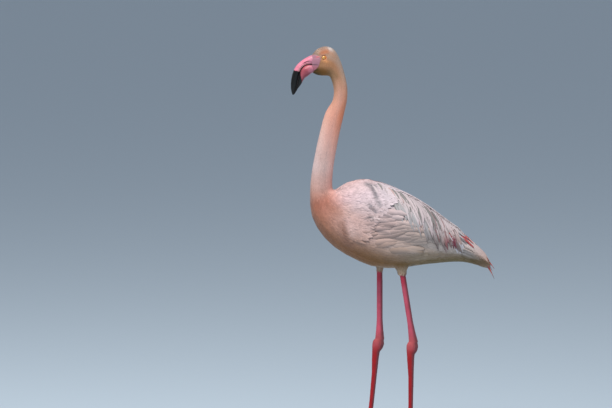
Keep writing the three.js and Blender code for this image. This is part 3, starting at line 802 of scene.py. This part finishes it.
def scattered(spacing, chosen):
    """Places on the skin about so far apart, where chosen(points) is over a random share."""
    a, b, c = (skin_points[skin_corners[:, k]] for k in range(3))
    area = np.linalg.norm(np.cross(b - a, c - a), axis=1) / 2
    area = area * (chosen((a + b + c) / 3) > 0)
    # Five places are drawn for each one wanted, and those too near a taken one are dropped.
    count = int(area.sum() / spacing**2 * 5)
    face = rng.choice(len(area), count, p=area / area.sum())
    u, v = rng.random((2, count))
    fold = u + v > 1
    u, v = np.where(fold, 1 - u, u)[:, None], np.where(fold, 1 - v, v)[:, None]
    found = a[face] + u * (b - a)[face] + v * (c - a)[face]
    found = found[rng.random(count) < chosen(found)]
    taken, kept = {}, []
    reach = spacing**2
    cells = np.floor(found / spacing).astype(int).tolist()
    steps = list(itertools.product((-1, 0, 1), repeat=3))
    for k, ((i, j, m), (x, y, z)) in enumerate(zip(cells, found.tolist())):
        for di, dj, dm in steps:
            p = taken.get((i + di, j + dj, m + dm))
            if p and (p[0] - x) ** 2 + (p[1] - y) ** 2 + (p[2] - z) ** 2 < reach:
                break
        else:
            taken[i, j, m] = (x, y, z)
            kept.append(k)
    return found[kept]


# The middle of each thigh: x and y.
HIPS = np.array([(0.0255, -0.036), (-0.0355, 0.036)])


def on_thigh(points):
    """1 on the feathered part of each leg."""
    near = np.linalg.norm(points[:, None, :2] - HIPS[None], axis=2).min(1)
    return ramp(points[:, 2], THIGH_TOP, 0.547) * ramp(near, 0.027, 0.022)


def lie_of_coat(points):
    """Backwards along the body, over the shoulders too, and down the thighs."""
    x, _, z = points.T
    down = on_thigh(points)[:, None]
    over = (ramp(x, -0.152, -0.118) * ramp(z, 0.700, 0.735) * (z < MID_NECK))[:, None]
    way = by_spine(points)[1] * (1 - over) + np.array((0.97, 0, -0.22)) * over
    return unit(way * (1 - down) + np.array((0, 0, -1.0)) * down)


def unwrapped(points):
    """A flat map of the skin's own shape: length along the spine against the way round it."""
    far, _, back = by_spine(points)
    out = from_spine(points, far)
    turn = np.arctan2(out[:, 1], (out * back).sum(1)) / (2 * math.pi) + 0.5
    return np.stack([0.02 + 0.96 * far / spine_s[-1], 0.02 + 0.96 * turn], axis=1)


def feather_finish(name, barbs, slant, streak):
    """Vane material: fine barbs that leave the shaft forwards, in relief and as faint streaks."""
    material, tree, shader = finish_of(name, roughness=0.72, Specular_IOR_Level=0.3, Sheen_Weight=0.15)
    flat = node(tree, "UVMap")
    flat.uv_map = "Vane"
    across, along, _ = node(tree, "SeparateXYZ", Vector=flat.outputs["UV"]).outputs
    off_shaft = reckoned(tree, "ABSOLUTE", reckoned(tree, "SUBTRACT", across, 0.5))
    phase = reckoned(tree, "SUBTRACT", reckoned(tree, "MULTIPLY", along, barbs),
                     reckoned(tree, "MULTIPLY", off_shaft, slant))
    loose = node(tree, "TexNoise", Scale=1.0, Detail=2.0)
    loose.noise_dimensions = "1D"
    wire(tree, loose, W=phase)
    streaks = reckoned(tree, "MULTIPLY", loose.outputs["Fac"], streak)
    toned = node(tree, "VectorMath")
    toned.operation = "SCALE"
    wire(tree, toned, Vector=painted_colour(tree, "Plumage"),
         Scale=reckoned(tree, "ADD", streaks, 1 - 0.5 * streak))
    wire(tree, shader, Base_Color=toned.outputs["Vector"])
    in_relief(tree, shader, reckoned(tree, "SINE", phase), strength=0.12, depth=0.2 * MM)
    return material


soft_vane = feather_finish("Soft feather", barbs=60, slant=40, streak=0.3)
long_vane = feather_finish("Long feather", barbs=420, slant=150, streak=0.22)


def colour_along(line, local):
    """The coat's colours along each feather: those of its root, and a share of those it lies on."""
    colours = coat_colour(line.reshape(-1, 3)).reshape(line.shape)
    return (local * colours + (1 - local) * colours[:, :1])[:, :, None]


def coat_tone(line, u, v, luck, local=0.5):
    """The coat's colour, paler towards each tip and a little different in each feather."""
    return colour_along(line, local) * ((0.9 + 0.14 * v) * (1 + 0.07 * luck))[..., None]


def upward(points):
    """1 where turning left along the skin means upwards, so that both flanks are mirrored."""
    return np.where(points[:, 1] < 0, 1.0, -1.0)


# Behind this x the body narrows to the tail. Its feathers start before it and run on freely past it.
TAIL_START = 0.205


def for_each(value, count):
    """One value for each vane, where a single one may be given for all."""
    return np.broadcast_to(np.asarray(value, float), count)


def laid(roots, lie, length, profile, turn=0.0, bend=0.0, sway=0.1):
    """Centre lines of vanes that run over the skin from their roots, with the way out at each ring.

    Each follows lie(points), turned upwards by turn and by bend more at its tip, and swayed a
    little to either side. Past the end of the body it runs on freely."""
    count = len(roots)
    length, turn, bend = (for_each(value, count) for value in (length, turn, bend))
    shares = np.array(profile)[:, 0]
    up = upward(roots)
    swayed = rng.normal(0, sway, count)
    at, out = onto_skin(roots)
    centres, outs, ahead = [at], [out], None
    for share, step in zip(shares, np.diff(shares)):
        angle = (up * (turn + bend * share) + swayed)[:, None]
        way = lie(at)
        way = unit(way - out * (way * out).sum(1, keepdims=True))
        way = way * np.cos(angle) + np.cross(out, way) * np.sin(angle)
        ahead = way if ahead is None else unit(ahead * 0.35 + way * 0.65)
        far = length * step
        goal = at + ahead * far[:, None]
        at, out = onto_skin(goal)
        off = ((goal - at) * out).sum(1)
        free = (off > np.where(goal[:, 0] > TAIL_START, 0.08, 0.5) * far)[:, None]
        at, out = np.where(free, goal, at), np.where(free, outs[-1], out)
        centres.append(at)
        outs.append(unit(outs[-1] * 0.4 + out * 0.6))
    return np.stack(centres, 1), np.stack(outs, 1)


VANE_THICKNESS = 0.25 * MM
SHAFT_RISE = 0.05 * MM
# How wide a vane's patch of the skin's map is.
BAKE_PATCH = 0.003


def vanes(name, line, half, profile, lift, base=0.0, sunk=0.0, camber=0.1, roll=0.0, fray=0.08,
          split=0.0, lobes=1, soft=0.8, tone=coat_tone, finish=soft_vane):
    """One joined piece of closed feather vanes on their centre lines.

    profile is rows of (share of the length, share of the half width). The vane runs base over its
    line, its tip is lift higher and its root is sunk. roll tilts its upper edge outwards, split makes
    its tip ragged, and soft shades it like the body under it."""
    centres, outs = line
    roots = centres[:, 0]
    up = upward(roots)[:, None]
    count, rings, cols = len(roots), len(profile), 2 * lobes + 1
    half, lift, base, sunk = (for_each(value, count)[:, None] for value in (half, lift, base, sunk))
    length = np.linalg.norm(np.diff(centres, axis=1), axis=2).sum(1)
    shares, widths = np.array(profile).T
    rise = base + lift * shares**0.8 - sunk * (1 - shares) ** 3
    spine = centres + outs * rise[:, :, None]
    along = unit(np.gradient(spine, axis=1))
    across = unit(np.cross(outs, along))
    shape = half * widths
    edge = [shape * (1 + fray * rng.uniform(-1, 1, shape.shape)) for _ in range(2)]
    steps = np.linspace(-1, 1, cols)
    # Columns of points run from edge to edge over the vane, and with more lobes than one back under it.
    section = []
    for s in steps:
        wide = np.where(s < 0, edge[0], edge[1]) * s
        dome = shape * camber * (1 - s * s) + SHAFT_RISE * (1 - abs(s)) + wide * roll * up
        column = spine + across * wide[:, :, None] + outs * dome[:, :, None]
        if split and s:
            column[:, -1] -= along[:, -1] * (length * split * rng.random(count))[:, None]
        section.append(column)
    if lobes > 1:
        section += [column - outs * VANE_THICKNESS for column in section[-2:0:-1]]
        steps = np.concatenate([steps, steps[-2:0:-1]])
    verts = np.stack(section, 2)
    top_columns, cols = cols - 1, len(steps)
    # Quads join each ring to the next one, and a cap closes each end.
    index = np.arange(count * rings * cols).reshape(count, rings, cols)
    a, b = index[:, :-1], index[:, 1:]
    after = np.roll(np.arange(cols), -1)
    quads = np.stack([a, b, b[:, :, after], a[:, :, after]], -1)
    tops = np.broadcast_to(np.arange(cols) < top_columns, quads.shape[:3]).ravel()
    caps = np.concatenate([index[:, 0], index[:, -1, ::-1]])
    smooth = np.concatenate([tops, np.zeros(len(caps), bool)])
    corners = np.concatenate([quads.ravel(), caps.ravel()]).astype(np.int32)
    sizes = np.concatenate([np.full(len(tops), 4), np.full(len(caps), cols)])
    mesh = bpy.data.meshes.new(name)
    mesh.vertices.add(index.size)
    mesh.vertices.foreach_set("co", verts.astype(np.float32).ravel())
    mesh.loops.add(len(corners))
    mesh.loops.foreach_set("vertex_index", corners)
    mesh.polygons.add(len(sizes))
    mesh.polygons.foreach_set("loop_start", np.concatenate([[0], np.cumsum(sizes)[:-1]]).astype(np.int32))
    mesh.polygons.foreach_set("use_smooth", smooth)
    # The vane's own flat map, and its patch of the skin's map, at the place of its root.
    grid = np.stack(np.broadcast_arrays((steps + 1) / 2, shares[:, None]), -1)
    grid = np.broadcast_to(grid, (count, rings, cols, 2))
    own = grid.reshape(-1, 2)
    root_at = np.repeat(unwrapped(roots), rings * cols, axis=0)
    for layer, flat in (("Vane", own), ("OFBake", root_at + BAKE_PATCH * (own - 0.5))):
        mesh.uv_layers.new(name=layer).data.foreach_set("uv", flat[corners].astype(np.float32).ravel())
    luck = rng.normal(0, 1, (count, 1, 1))
    colours = tone(centres, grid[..., 0], grid[..., 1], luck)
    paint(mesh, "Plumage", np.clip(colours, 0.003, 0.98).reshape(-1, 3))
    mesh.update()
    if soft:
        own_way = rows_of(mesh.corner_normals, "vector")
        body_way = unit(outs[:, :, None] + across[:, :, None] * (0.3 * steps)[:, None])
        shading = unit(own_way * (1 - soft) + body_way.reshape(-1, 3)[corners] * soft)
        # Rows of zeros leave the under side and the ends their own flat shading.
        shading[~np.repeat(smooth, sizes)] = 0
        mesh.normals_split_custom_set(shading)
    piece = linked(bpy.data.objects.new(name, mesh))
    mesh.materials.append(finish)
    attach(piece, "root")
    return piece


# Shapes of vanes: share of the length, and share of the half width.
STRAND = [(0, 0.7), (0.5, 1), (1, 0.2)]
CONTOUR = [(0, 0.5), (0.3, 0.95), (0.7, 1), (1, 0.55)]


def grown(place, stations, lengths):
    """A length for each feather, about the one in mm that goes with its place."""
    return rng.uniform(0.8, 1.2, len(place)) * np.interp(place, stations, lengths) * MM


def head_zone(points):
    """1 on the feathered head, round the face and the eyes."""
    far = by_spine(points)[0]
    high = feathered(points) * (points[:, 2] > MID_NECK) * ramp(from_eye(points), 1.9, 2.1)
    return high * ramp(far, NAPE + 0.012, NAPE - 0.004)


def neck_zone(points, start, end):
    """1 between two lengths along the neck, fading over the ends."""
    far = by_spine(points)[0]
    inside = ramp(far, start - 0.008, start + 0.008) * ramp(far, end + 0.01, end - 0.01)
    return (points[:, 2] > 0.6) * inside


def body_zone(points, start, end):
    """1 between two lengths along the trunk, where neither a wing nor a thigh covers it."""
    far = by_spine(points)[0]
    hidden = wing_share(points - (0, 0, 0.016)) > 0.5
    legs = (points[:, 2] < 0.535) | (on_thigh(points) >= 0.5)
    shown = ramp(far, NECK_FOOT - 0.015, NECK_FOOT + 0.015) * ~hidden * ~legs
    return shown * (far >= start) * (far < end)


roots = scattered(0.86 * MM, head_zone)
size = grown(roots[:, 0], [-0.222, -0.19, -0.15], [3.4, 5.4, 7.4])
vanes("head_feathers", laid(roots, lie_of_coat, size, STRAND), 0.14 * size, STRAND,
      lift=0.25 * MM + 0.03 * size, sunk=0.3 * MM, camber=0.05)

NECK_PARTS = {"upper": (NAPE, 0.30), "lower": (0.30, NECK_FOOT)}
for part, (start, end) in NECK_PARTS.items():
    roots = scattered(1.12 * MM, lambda points: neck_zone(points, start, end))
    size = grown(by_spine(roots)[0], [NAPE, NECK_FOOT], [9, 13])
    vanes(f"neck_feathers_{part}", laid(roots, lie_of_coat, size, STRAND, sway=0.07), 0.10 * size, STRAND,
          lift=0.35 * MM + 0.022 * size, sunk=0.4 * MM, camber=0.05)

# Parts of the trunk: start and end along the spine, and mm between feathers.
BODY_PARTS = {"breast": (0, 0.55, 2.1), "belly": (0.55, 0.74, 2.8), "rump": (0.74, 1.2, 3.0)}
for part, (start, end, spacing) in BODY_PARTS.items():
    roots = scattered(spacing * MM, lambda points: body_zone(points, start, end))
    facing = (onto_skin(roots)[1] * lie_of_coat(roots)).sum(1)
    roots = roots[(roots[:, 0] < TAIL_START) & (facing < 0.5)]
    size = grown(by_spine(roots)[0], [NECK_FOOT, 0.50, 0.8, 0.9], [14, 20, 27, 38])
    vanes(f"{part}_feathers", laid(roots, lie_of_coat, size, CONTOUR), 0.12 * size, CONTOUR,
          lift=0.4 * MM + 0.025 * size, sunk=0.5 * MM, camber=0.06, split=0.25, fray=0.12)

roots = scattered(2.2 * MM, lambda points: on_thigh(points) * feathered(points))
size = rng.uniform(8, 12, len(roots)) * MM
vanes("thigh_feathers", laid(roots, lie_of_coat, size, STRAND), 0.12 * size, STRAND, lift=1.4 * MM,
      sunk=0.3 * MM)

# ---------------------------------------------------------------- Wing coverts
# The folded wing is closed by rows of long soft coverts that lie front to rear over one another, the
# upper rows over the lower. Their tips curl down a little. Small lesser coverts cover the shoulder.
LONG = [(0, 0.4), (0.15, 0.75), (0.38, 0.97), (0.62, 1), (0.8, 0.86), (0.91, 0.62), (0.97, 0.36), (1, 0.1)]
LANCE = [(0, 0.4), (0.15, 0.8), (0.4, 1), (0.65, 0.9), (0.85, 0.6), (0.95, 0.32), (1, 0.08)]
COVERT_STEP = 0.0115
COVERT_HALF_WIDTH = 9.5 * MM
# Rows from the top: start x and z, end of the last tip, and the rise of the row in degrees.
COVERT_ROWS = [(-0.094, 0.706, -0.020, 2), (-0.100, 0.692, 0.004, 4), (-0.106, 0.677, 0.014, 7),
               (-0.110, 0.661, 0.026, 9), (-0.110, 0.645, 0.044, 11), (-0.096, 0.630, 0.062, 13),
               (-0.062, 0.618, 0.076, 14), (-0.026, 0.610, 0.084, 12), (-0.060, 0.603, 0.076, 8),
               (-0.030, 0.592, 0.070, 5)]


def on_flank(x, z, sign):
    """Places on the skin's flank on that side, straight in from the side view."""
    places = []
    for px, pz in zip(x, z):
        hit = skin_tree.ray_cast(Vector((px, 0.3 * sign, pz)), Vector((0, -sign, 0)))[0]
        places.append(hit or skin_tree.find_nearest(Vector((px, 0.02 * sign, pz)))[0])
    return np.array(places)


def rearward(points):
    """Straight back along the bird from every place."""
    return np.tile((1.0, 0, 0), (len(points), 1))


def from_upper_edge(roots, u):
    """How far across its vane a place is, from 0 at the upper edge to 1 at the lower one."""
    return np.where(upward(roots)[:, None, None] > 0, 1 - u, u)


def covert_tone(line, u, v, luck):
    """Pale pinkish coverts, greyer low on the wing, with painted shade on the under-edge and at the root.
    """
    roots = line[:, 0]
    # Painted shade darkens each covert's under-edge, more on the upper rows, and its root.
    deep = (0.12 + 0.28 * ramp(roots[:, 2], 0.598, 0.628))[:, None, None]
    shade = 1 - deep * ramp(from_upper_edge(roots, u), 0.30, 1.0) - 0.10 * (1 - v) ** 2 + 0.05 * luck
    return colour_along(line, 0.65) * shade[..., None]


def both_sides(rows, row_of):
    """What row_of(sign, number, row) gives for the rows of each side, joined kind by kind."""
    found = [row_of(sign, number, *row) for sign in SIDES.values() for number, row in enumerate(rows)]
    return [np.concatenate(kind) for kind in zip(*found)]


def covert_row(sign, number, start, height, end, rising):
    """Roots, lengths, heights over the skin and turns of one row of coverts."""
    size = 0.072 + 0.003 * number
    x = np.arange(start - rng.uniform(0, 0.010), end - 0.62 * size, COVERT_STEP)
    x = x + rng.normal(0, 3 * MM, len(x))
    along_row = (x - start) / (end - start)
    z = height + math.tan(math.radians(rising)) * (x - start) + rng.normal(0, 2.6 * MM, len(x))
    lengths = size * rng.uniform(0.8, 1.15, len(x))
    bases = np.full(len(x), (2.2 - 0.16 * number) * MM)
    turns = np.radians(rising + 15 - 14 * along_row + rng.normal(0, 4, len(x)))
    return on_flank(x, z, sign), lengths, bases, turns


roots, lengths, bases, turns = both_sides(COVERT_ROWS, covert_row)
line = laid(roots, rearward, lengths, LONG, turn=turns, bend=math.radians(-42), sway=0.05)
coverts = vanes("wing_coverts", line, np.minimum(0.12 * lengths, COVERT_HALF_WIDTH), LONG, lift=1.6 * MM,
                base=bases, sunk=4.6 * MM, camber=0.2, roll=-0.16, fray=0.05, split=0.05, lobes=3,
                soft=0.35, tone=covert_tone, finish=long_vane)
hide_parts(*UNDER_WINGS)


def shoulder_zone(points):
    """1 on the shoulder of the folded wing, in front of the long coverts and above them."""
    x, y, z = points.T
    rear = np.interp(z, [0.62, 0.66, 0.70, 0.718, 0.738, 0.78],
                     [-0.096, -0.088, -0.066, -0.038, -0.022, -0.016])
    front = ramp(x, -0.148, -0.128) * ramp(x, rear + 0.012, rear - 0.004)
    return front * ramp(z, 0.622, 0.640) * (z < NECK_ONLY) * (np.abs(y) > 0.012)


def shoulder_tone(line, u, v, luck):
    """The coat's tone, with the marks of the wing's front, its painted shadow among them, drawn sharply
    across the feathers.
    """
    return coat_tone(line, u, v, luck, 0.9)


SHOULDER_TURN = math.radians(6)
roots = scattered(3.3 * MM, shoulder_zone)
size = grown(roots[:, 0], [-0.14, -0.06], [18, 28])
base = np.interp(roots[:, 0], [-0.128, -0.105, -0.07], [1.0, 3.0, 4.0]) * MM
vanes("lesser_coverts", laid(roots, lie_of_coat, size, CONTOUR, turn=SHOULDER_TURN), 0.13 * size, CONTOUR,
      lift=0.5 * MM + 0.02 * size, base=base, sunk=base, camber=0.06, split=0.25, fray=0.12,
      tone=shoulder_tone)

# ---------------------------------------------------------------- Scapulars and tertials
# Long narrow feathers leave the back and hang over the wing, nearly straight down at their tips. The
# front ones lie over those behind, and soft feathers cover the ridge between the two sides.
DRAPE_GREY = (0.37, 0.36, 0.375)
DRAPE_FLUSH = (0.585, 0.495, 0.52)
# Painted shade: how much of each colour is lost low on the drape.
DRAPE_LOW_SHADE = (0.32, 0.46, 0.52)
# The line of the ridge of the back: x and z.
RIDGE = np.array([(-0.105, 0.7857), (-0.071, 0.788), (-0.0406, 0.784), (-0.007, 0.7728), (0.021, 0.7588),
                  (0.049, 0.7448), (0.077, 0.7308), (0.105, 0.711), (0.141, 0.683), (0.169, 0.655),
                  (0.203, 0.633)])
# Odd feathers: their share, their colour, and the x that they start from.
DRAPE_KINDS = [(0.15, (0.25, 0.235, 0.235), -0.1), (0.06, (0.52, 0.37, 0.36), -0.1),
               (0.14, (0.31, 0.20, 0.21), 0.05)]
# Crimson that shows between the tips of the tertials: start, end and colour.
CRIMSON_PATCHES = [((0.150, 0.622), (0.153, 0.590), (0.30, 0.10, 0.115)),
                   ((0.168, 0.624), (0.172, 0.596), (0.17, 0.02, 0.045))]
# Layers: first root, last root, step, depth under the ridge, length scale, and base in mm.
DRAPE_LAYERS = [(-0.030, 0.172, 0.0040, 0.024, 1.0, 1.2), (-0.052, 0.168, 0.0044, 0.012, 0.92, 2.2),
                (-0.064, 0.160, 0.0052, 0.003, 0.78, 3.2)]
# Length of the feathers by x.
DRAPE_LENGTHS = np.array([(-0.06, 0.064), (-0.03, 0.086), (0.0, 0.106), (0.03, 0.128), (0.06, 0.142),
                          (0.09, 0.126), (0.12, 0.093), (0.15, 0.064), (0.18, 0.048)])


def drape_tone(line, u, v, luck):
    """White-grey feathers flushed pink near the back and darker low down with painted shade, some dark
    grey, rosy or red.
    """
    roots = line[:, 0]
    flush = ramp(roots[:, 2] - np.interp(roots[:, 0], *RIDGE.T), -0.030, -0.004)
    colour = mixed(DRAPE_GREY, DRAPE_FLUSH, flush)
    pick = rng.random(len(roots))
    for share, kind, start in DRAPE_KINDS:
        chosen = (pick > 0) & (pick < share) & (roots[:, 0] > start)
        colour = np.where(chosen[:, None], kind, colour)
        pick = pick - share
    low = ramp(line[..., 2], 0.668, 0.605)[:, :, None]
    colour = colour[:, None] * (1 - low * DRAPE_LOW_SHADE)
    for start, end, crimson in CRIMSON_PATCHES:
        red = near_line(line.reshape(-1, 3), (start, end), 6 * MM).reshape(line.shape[:2])
        colour = mixed(colour, crimson, red)
    # Painted shade darkens the lower edge and the root of each feather.
    front = from_upper_edge(roots, u)
    shade = 1 - 0.28 * ramp(front, 0.6, 1.0) - 0.15 * (1 - v) ** 2 + 0.08 * luck
    return colour[:, :, None] * shade[..., None]


def drape_layer(sign, _, first, last, step, under, scale, base):
    """Roots, lengths, heights over the skin and lifts of one layer."""
    x = np.arange(first, last, step)
    x = x + rng.normal(0, 0.3 * step, len(x))
    z = np.interp(x, *RIDGE.T) - under + rng.normal(0, 3 * MM, len(x))
    lengths = np.interp(x, *DRAPE_LENGTHS.T) * scale * rng.uniform(0.8, 1.08, len(x))
    bases = base * MM + 0.8 * MM * (last - x) / (last - first)
    lifts = np.interp(x, [-0.03, 0.02, 0.07, 0.12], [1.0, 3.4, 3.4, 1.0]) * MM
    return on_flank(x, z, sign), lengths, bases, lifts


roots, lengths, bases, lifts = both_sides(DRAPE_LAYERS, drape_layer)
line = laid(roots, rearward, lengths, LANCE, turn=math.radians(-46), bend=math.radians(-34), sway=0.06)
half = rng.uniform(2.8, 4.8, len(roots)) * MM
drape = vanes("scapulars_and_tertials", line, half, LANCE, lifts, base=bases, sunk=1.0 * MM, camber=0.24,
              roll=0.14, fray=0.05, lobes=2, soft=0.4, tone=drape_tone, finish=long_vane)
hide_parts("scapulars_left", "scapulars_right")


def ridge_zone(points):
    """1 along the ridge of the back, between the drapes of the two sides."""
    x, y, z = points.T
    spine_side = (z > np.interp(x, *RIDGE.T) - 0.03) * (np.abs(y) < 0.03)
    return ramp(x, -0.115, -0.095) * ramp(x, 0.200, 0.180) * spine_side


roots = scattered(4.0 * MM, ridge_zone)
size = rng.uniform(0.85, 1.15, len(roots)) * 32 * MM
apart = -math.radians(14) * ramp(np.abs(roots[:, 1]), 0.006, 0.022) * ramp(roots[:, 0], 0.175, 0.150)
middle = ramp(np.abs(roots[:, 1]), 0.022, 0.012) * ramp(roots[:, 0], -0.03, 0.03)
over = np.interp(roots[:, 0], [0.13, 0.180], [3.0, 0.8]) * MM * (1 + 0.8 * middle)
vanes("back_feathers", laid(roots, lie_of_coat, size, CONTOUR, turn=apart), 0.12 * size, CONTOUR,
      lift=0.9 * MM, base=over, sunk=0.8 * over, camber=0.06, split=0.2, fray=0.12)

# ---------------------------------------------------------------- Wing tips and crimson feathers
# Behind the tertials the folded wing ends in a few grey-white feathers, with crimson ones among them
# that show along the rump and between the tips of the tertials.
CRIMSON = np.array((0.50, 0.085, 0.09))
GREY_WHITE = (0.56, 0.52, 0.55)
DUSKY = (0.24, 0.20, 0.21)
# The crimson feathers start behind this x.
CRIMSON_START = 0.1805
# Rows: first root, last root, step, depth under the ridge, length, turn in degrees, and base in mm.
HIND_ROWS = [(0.136, 0.190, 0.0050, 0.034, 0.040, -54, 0.8), (0.140, 0.192, 0.0050, 0.024, 0.044, -46, 1.6),
             (0.170, 0.204, 0.0044, 0.011, 0.032, -16, 2.6), (0.172, 0.206, 0.0040, 0.003, 0.034, -8, 3.0)]


def hind_tone(line, u, v, luck):
    """Crimson along the rump, and grey-white or dusky under it."""
    roots = line[:, 0]
    pick = rng.random(len(roots))[:, None]
    colour = np.where(pick < 0.3, DUSKY, np.where(pick < 0.42, 0.6 * CRIMSON, GREY_WHITE))
    reach = rng.choice([0.002, 0.0155], len(roots), p=[0.1, 0.9])
    high = roots[:, 2] > np.interp(roots[:, 0], *RIDGE.T) - reach
    colour = np.where((high & (roots[:, 0] > CRIMSON_START))[:, None], CRIMSON, colour)
    return colour[:, None, None] * (1 - 0.25 * (1 - v) + 0.10 * luck)[..., None]


def hind_row(sign, _, first, last, step, under, size, turn, base):
    """Roots, lengths, turns and heights over the skin of one row."""
    x = np.arange(first, last, step)
    roots = on_flank(x, np.interp(x, *RIDGE.T) - under + rng.normal(0, 1.5 * MM, len(x)), sign)
    lengths = size * rng.uniform(0.85, 1.1, len(x))
    turns = np.radians(turn + rng.normal(0, 3, len(x)))
    return roots, lengths, turns, np.full(len(x), base * MM)


roots, lengths, turns, bases = both_sides(HIND_ROWS, hind_row)
line = laid(roots, rearward, lengths, LANCE, turn=turns, bend=math.radians(-12))
half = rng.uniform(2.6, 4.2, len(roots)) * MM
vanes("wing_tip_feathers", line, half, LANCE, lift=1.0 * MM, base=bases, sunk=1.6 * MM, camber=0.2,
      roll=0.15, lobes=2, soft=0.3, tone=hind_tone, finish=long_vane)

# ---------------------------------------------------------------- Tail
# Under the long soft coverts the short tail ends in a fan of blunt feathers with red shafts. Four worn
# ones, narrow and frayed to the shaft, reach further than the rest.
WORN_VANE = [(0, 0.8), (0.25, 1), (0.5, 1), (0.7, 0.9), (0.82, 0.6), (0.9, 0.28), (1, 0.12)]
BLUNT_VANE = [(0, 0.8), (0.3, 1), (0.6, 1), (0.85, 0.85), (1, 0.4)]
TAIL_FEATHER_ROOT = 0.222
TAIL_TAN = (0.44, 0.27, 0.22)
SHAFT_RED = (0.52, 0.05, 0.05)
WORN_GREY = (0.30, 0.27, 0.27)


def tail_tone(line, u, v, luck):
    """Pinkish tan vanes with a red shaft, broad on the worn ones, and grey at the lowest tip."""
    tips = line[:, -1, :, None, None]
    vane = np.array(TAIL_TAN) * ((1 - 0.30 * v) * (1 + 0.1 * luck))[..., None]
    width = np.where(tips[:, 0] > 0.2762, 0.3, 0.12)
    shaft = np.exp(-(((u - 0.5) / width) ** 2)) * ramp(v, 0.35, 0.55)
    return mixed(mixed(vane, SHAFT_RED, shaft), WORN_GREY, ramp(v, 0.86, 0.97) * (tips[:, 2] < 0.52))


def tail_vanes(name, tips, arch, aside, half, profile):
    """Vanes from the root of the tail to their tips, bowed up by arch, with their faces to a side."""
    share = np.array(profile)[:, :1]
    root = np.full(len(tips), TAIL_FEATHER_ROOT)
    starts = np.stack([root, 0.8 * tips[:, 1], 0.385 + 0.35 * tips[:, 2]], 1)
    line = starts[:, None] * (1 - share) + tips[:, None] * share
    line[:, :, 2] += arch[:, None] * (share * (1 - share) * 4)[:, 0]
    outs = unit(np.stack([np.full(len(tips), 0.3), aside, np.full(len(tips), 0.5)], 1))
    outs = np.repeat(outs[:, None], len(profile), axis=1)
    return vanes(name, (line, outs), half, profile, lift=0.0, camber=0.25, fray=0.06, lobes=2, soft=0.0,
                 tone=tail_tone, finish=long_vane)


# The worn feathers: tip x, y and z, bow, way of the face and half width.
WORN = np.array([(0.2845, -0.0070, 0.510, 0.024, -1, 0.0044), (0.2845, -0.0050, 0.538, 0.015, -1, 0.0040),
                 (0.2765, -0.0050, 0.536, 0.014, -1, 0.0028), (0.2800, 0.0090, 0.530, 0.018, 1, 0.0028)])
tail_vanes("worn_tail_feathers", WORN[:, :3], *WORN[:, 3:].T, WORN_VANE)
fan = np.array([(0.274 - 0.007 * abs(turn), 0.012 * turn, low + 0.005 * abs(turn))
                for turn in np.linspace(-1, 1, 9) for low in (0.540, 0.548, 0.556)])
fan += rng.normal(0, 0.8 * MM, fan.shape) * (1, 0.5, 1)
tail = tail_vanes("tail_feathers", fan, np.full(len(fan), 0.010), 80 * fan[:, 1], 4.6 * MM, BLUNT_VANE)
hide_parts("tail")

# Soft coverts close the root of the tail all round: x, middle height, half height and half width.
TAIL_ROOT_SLICES = np.array([
    (0.190, 0.600, 0.036, 0.050), (0.200, 0.5965, 0.0355, 0.049), (0.210, 0.592, 0.033, 0.046),
    (0.220, 0.587, 0.0295, 0.042), (0.234, 0.578, 0.026, 0.036), (0.256, 0.563, 0.0195, 0.023),
    (0.265, 0.555, 0.013, 0.015), (0.276, 0.548, 0.004, 0.005),
])
COVERT_COUNT = 1000
x = rng.uniform(0.188, 0.248, COVERT_COUNT)
turn = rng.uniform(-math.pi, math.pi, COVERT_COUNT)
length = np.minimum(rng.uniform(26, 34, COVERT_COUNT) * MM, rng.uniform(0.264, 0.2745, COVERT_COUNT) - x)
at = x[:, None] + length[:, None] * np.array(CONTOUR)[:, 0]
middle, high, wide = (np.interp(at, TAIL_ROOT_SLICES[:, 0], TAIL_ROOT_SLICES[:, k]) for k in (1, 2, 3))
turn = turn[:, None] + np.zeros_like(at)
line = np.stack([at, wide * np.sin(turn), middle + high * np.cos(turn)], 2)
# Each covert leans to the nearest diagonal, so that the ring of them stands a little open.
outs = np.stack([np.full_like(at, 0.25), np.sin(turn) * high / wide, np.cos(turn)], 2)
outs /= np.linalg.norm(outs, axis=1, keepdims=True)
vanes("tail_coverts", (line, outs), 0.09 * length, CONTOUR, lift=0.7 * MM, sunk=2.6 * MM, camber=0.1,
      split=0.3, fray=0.12)
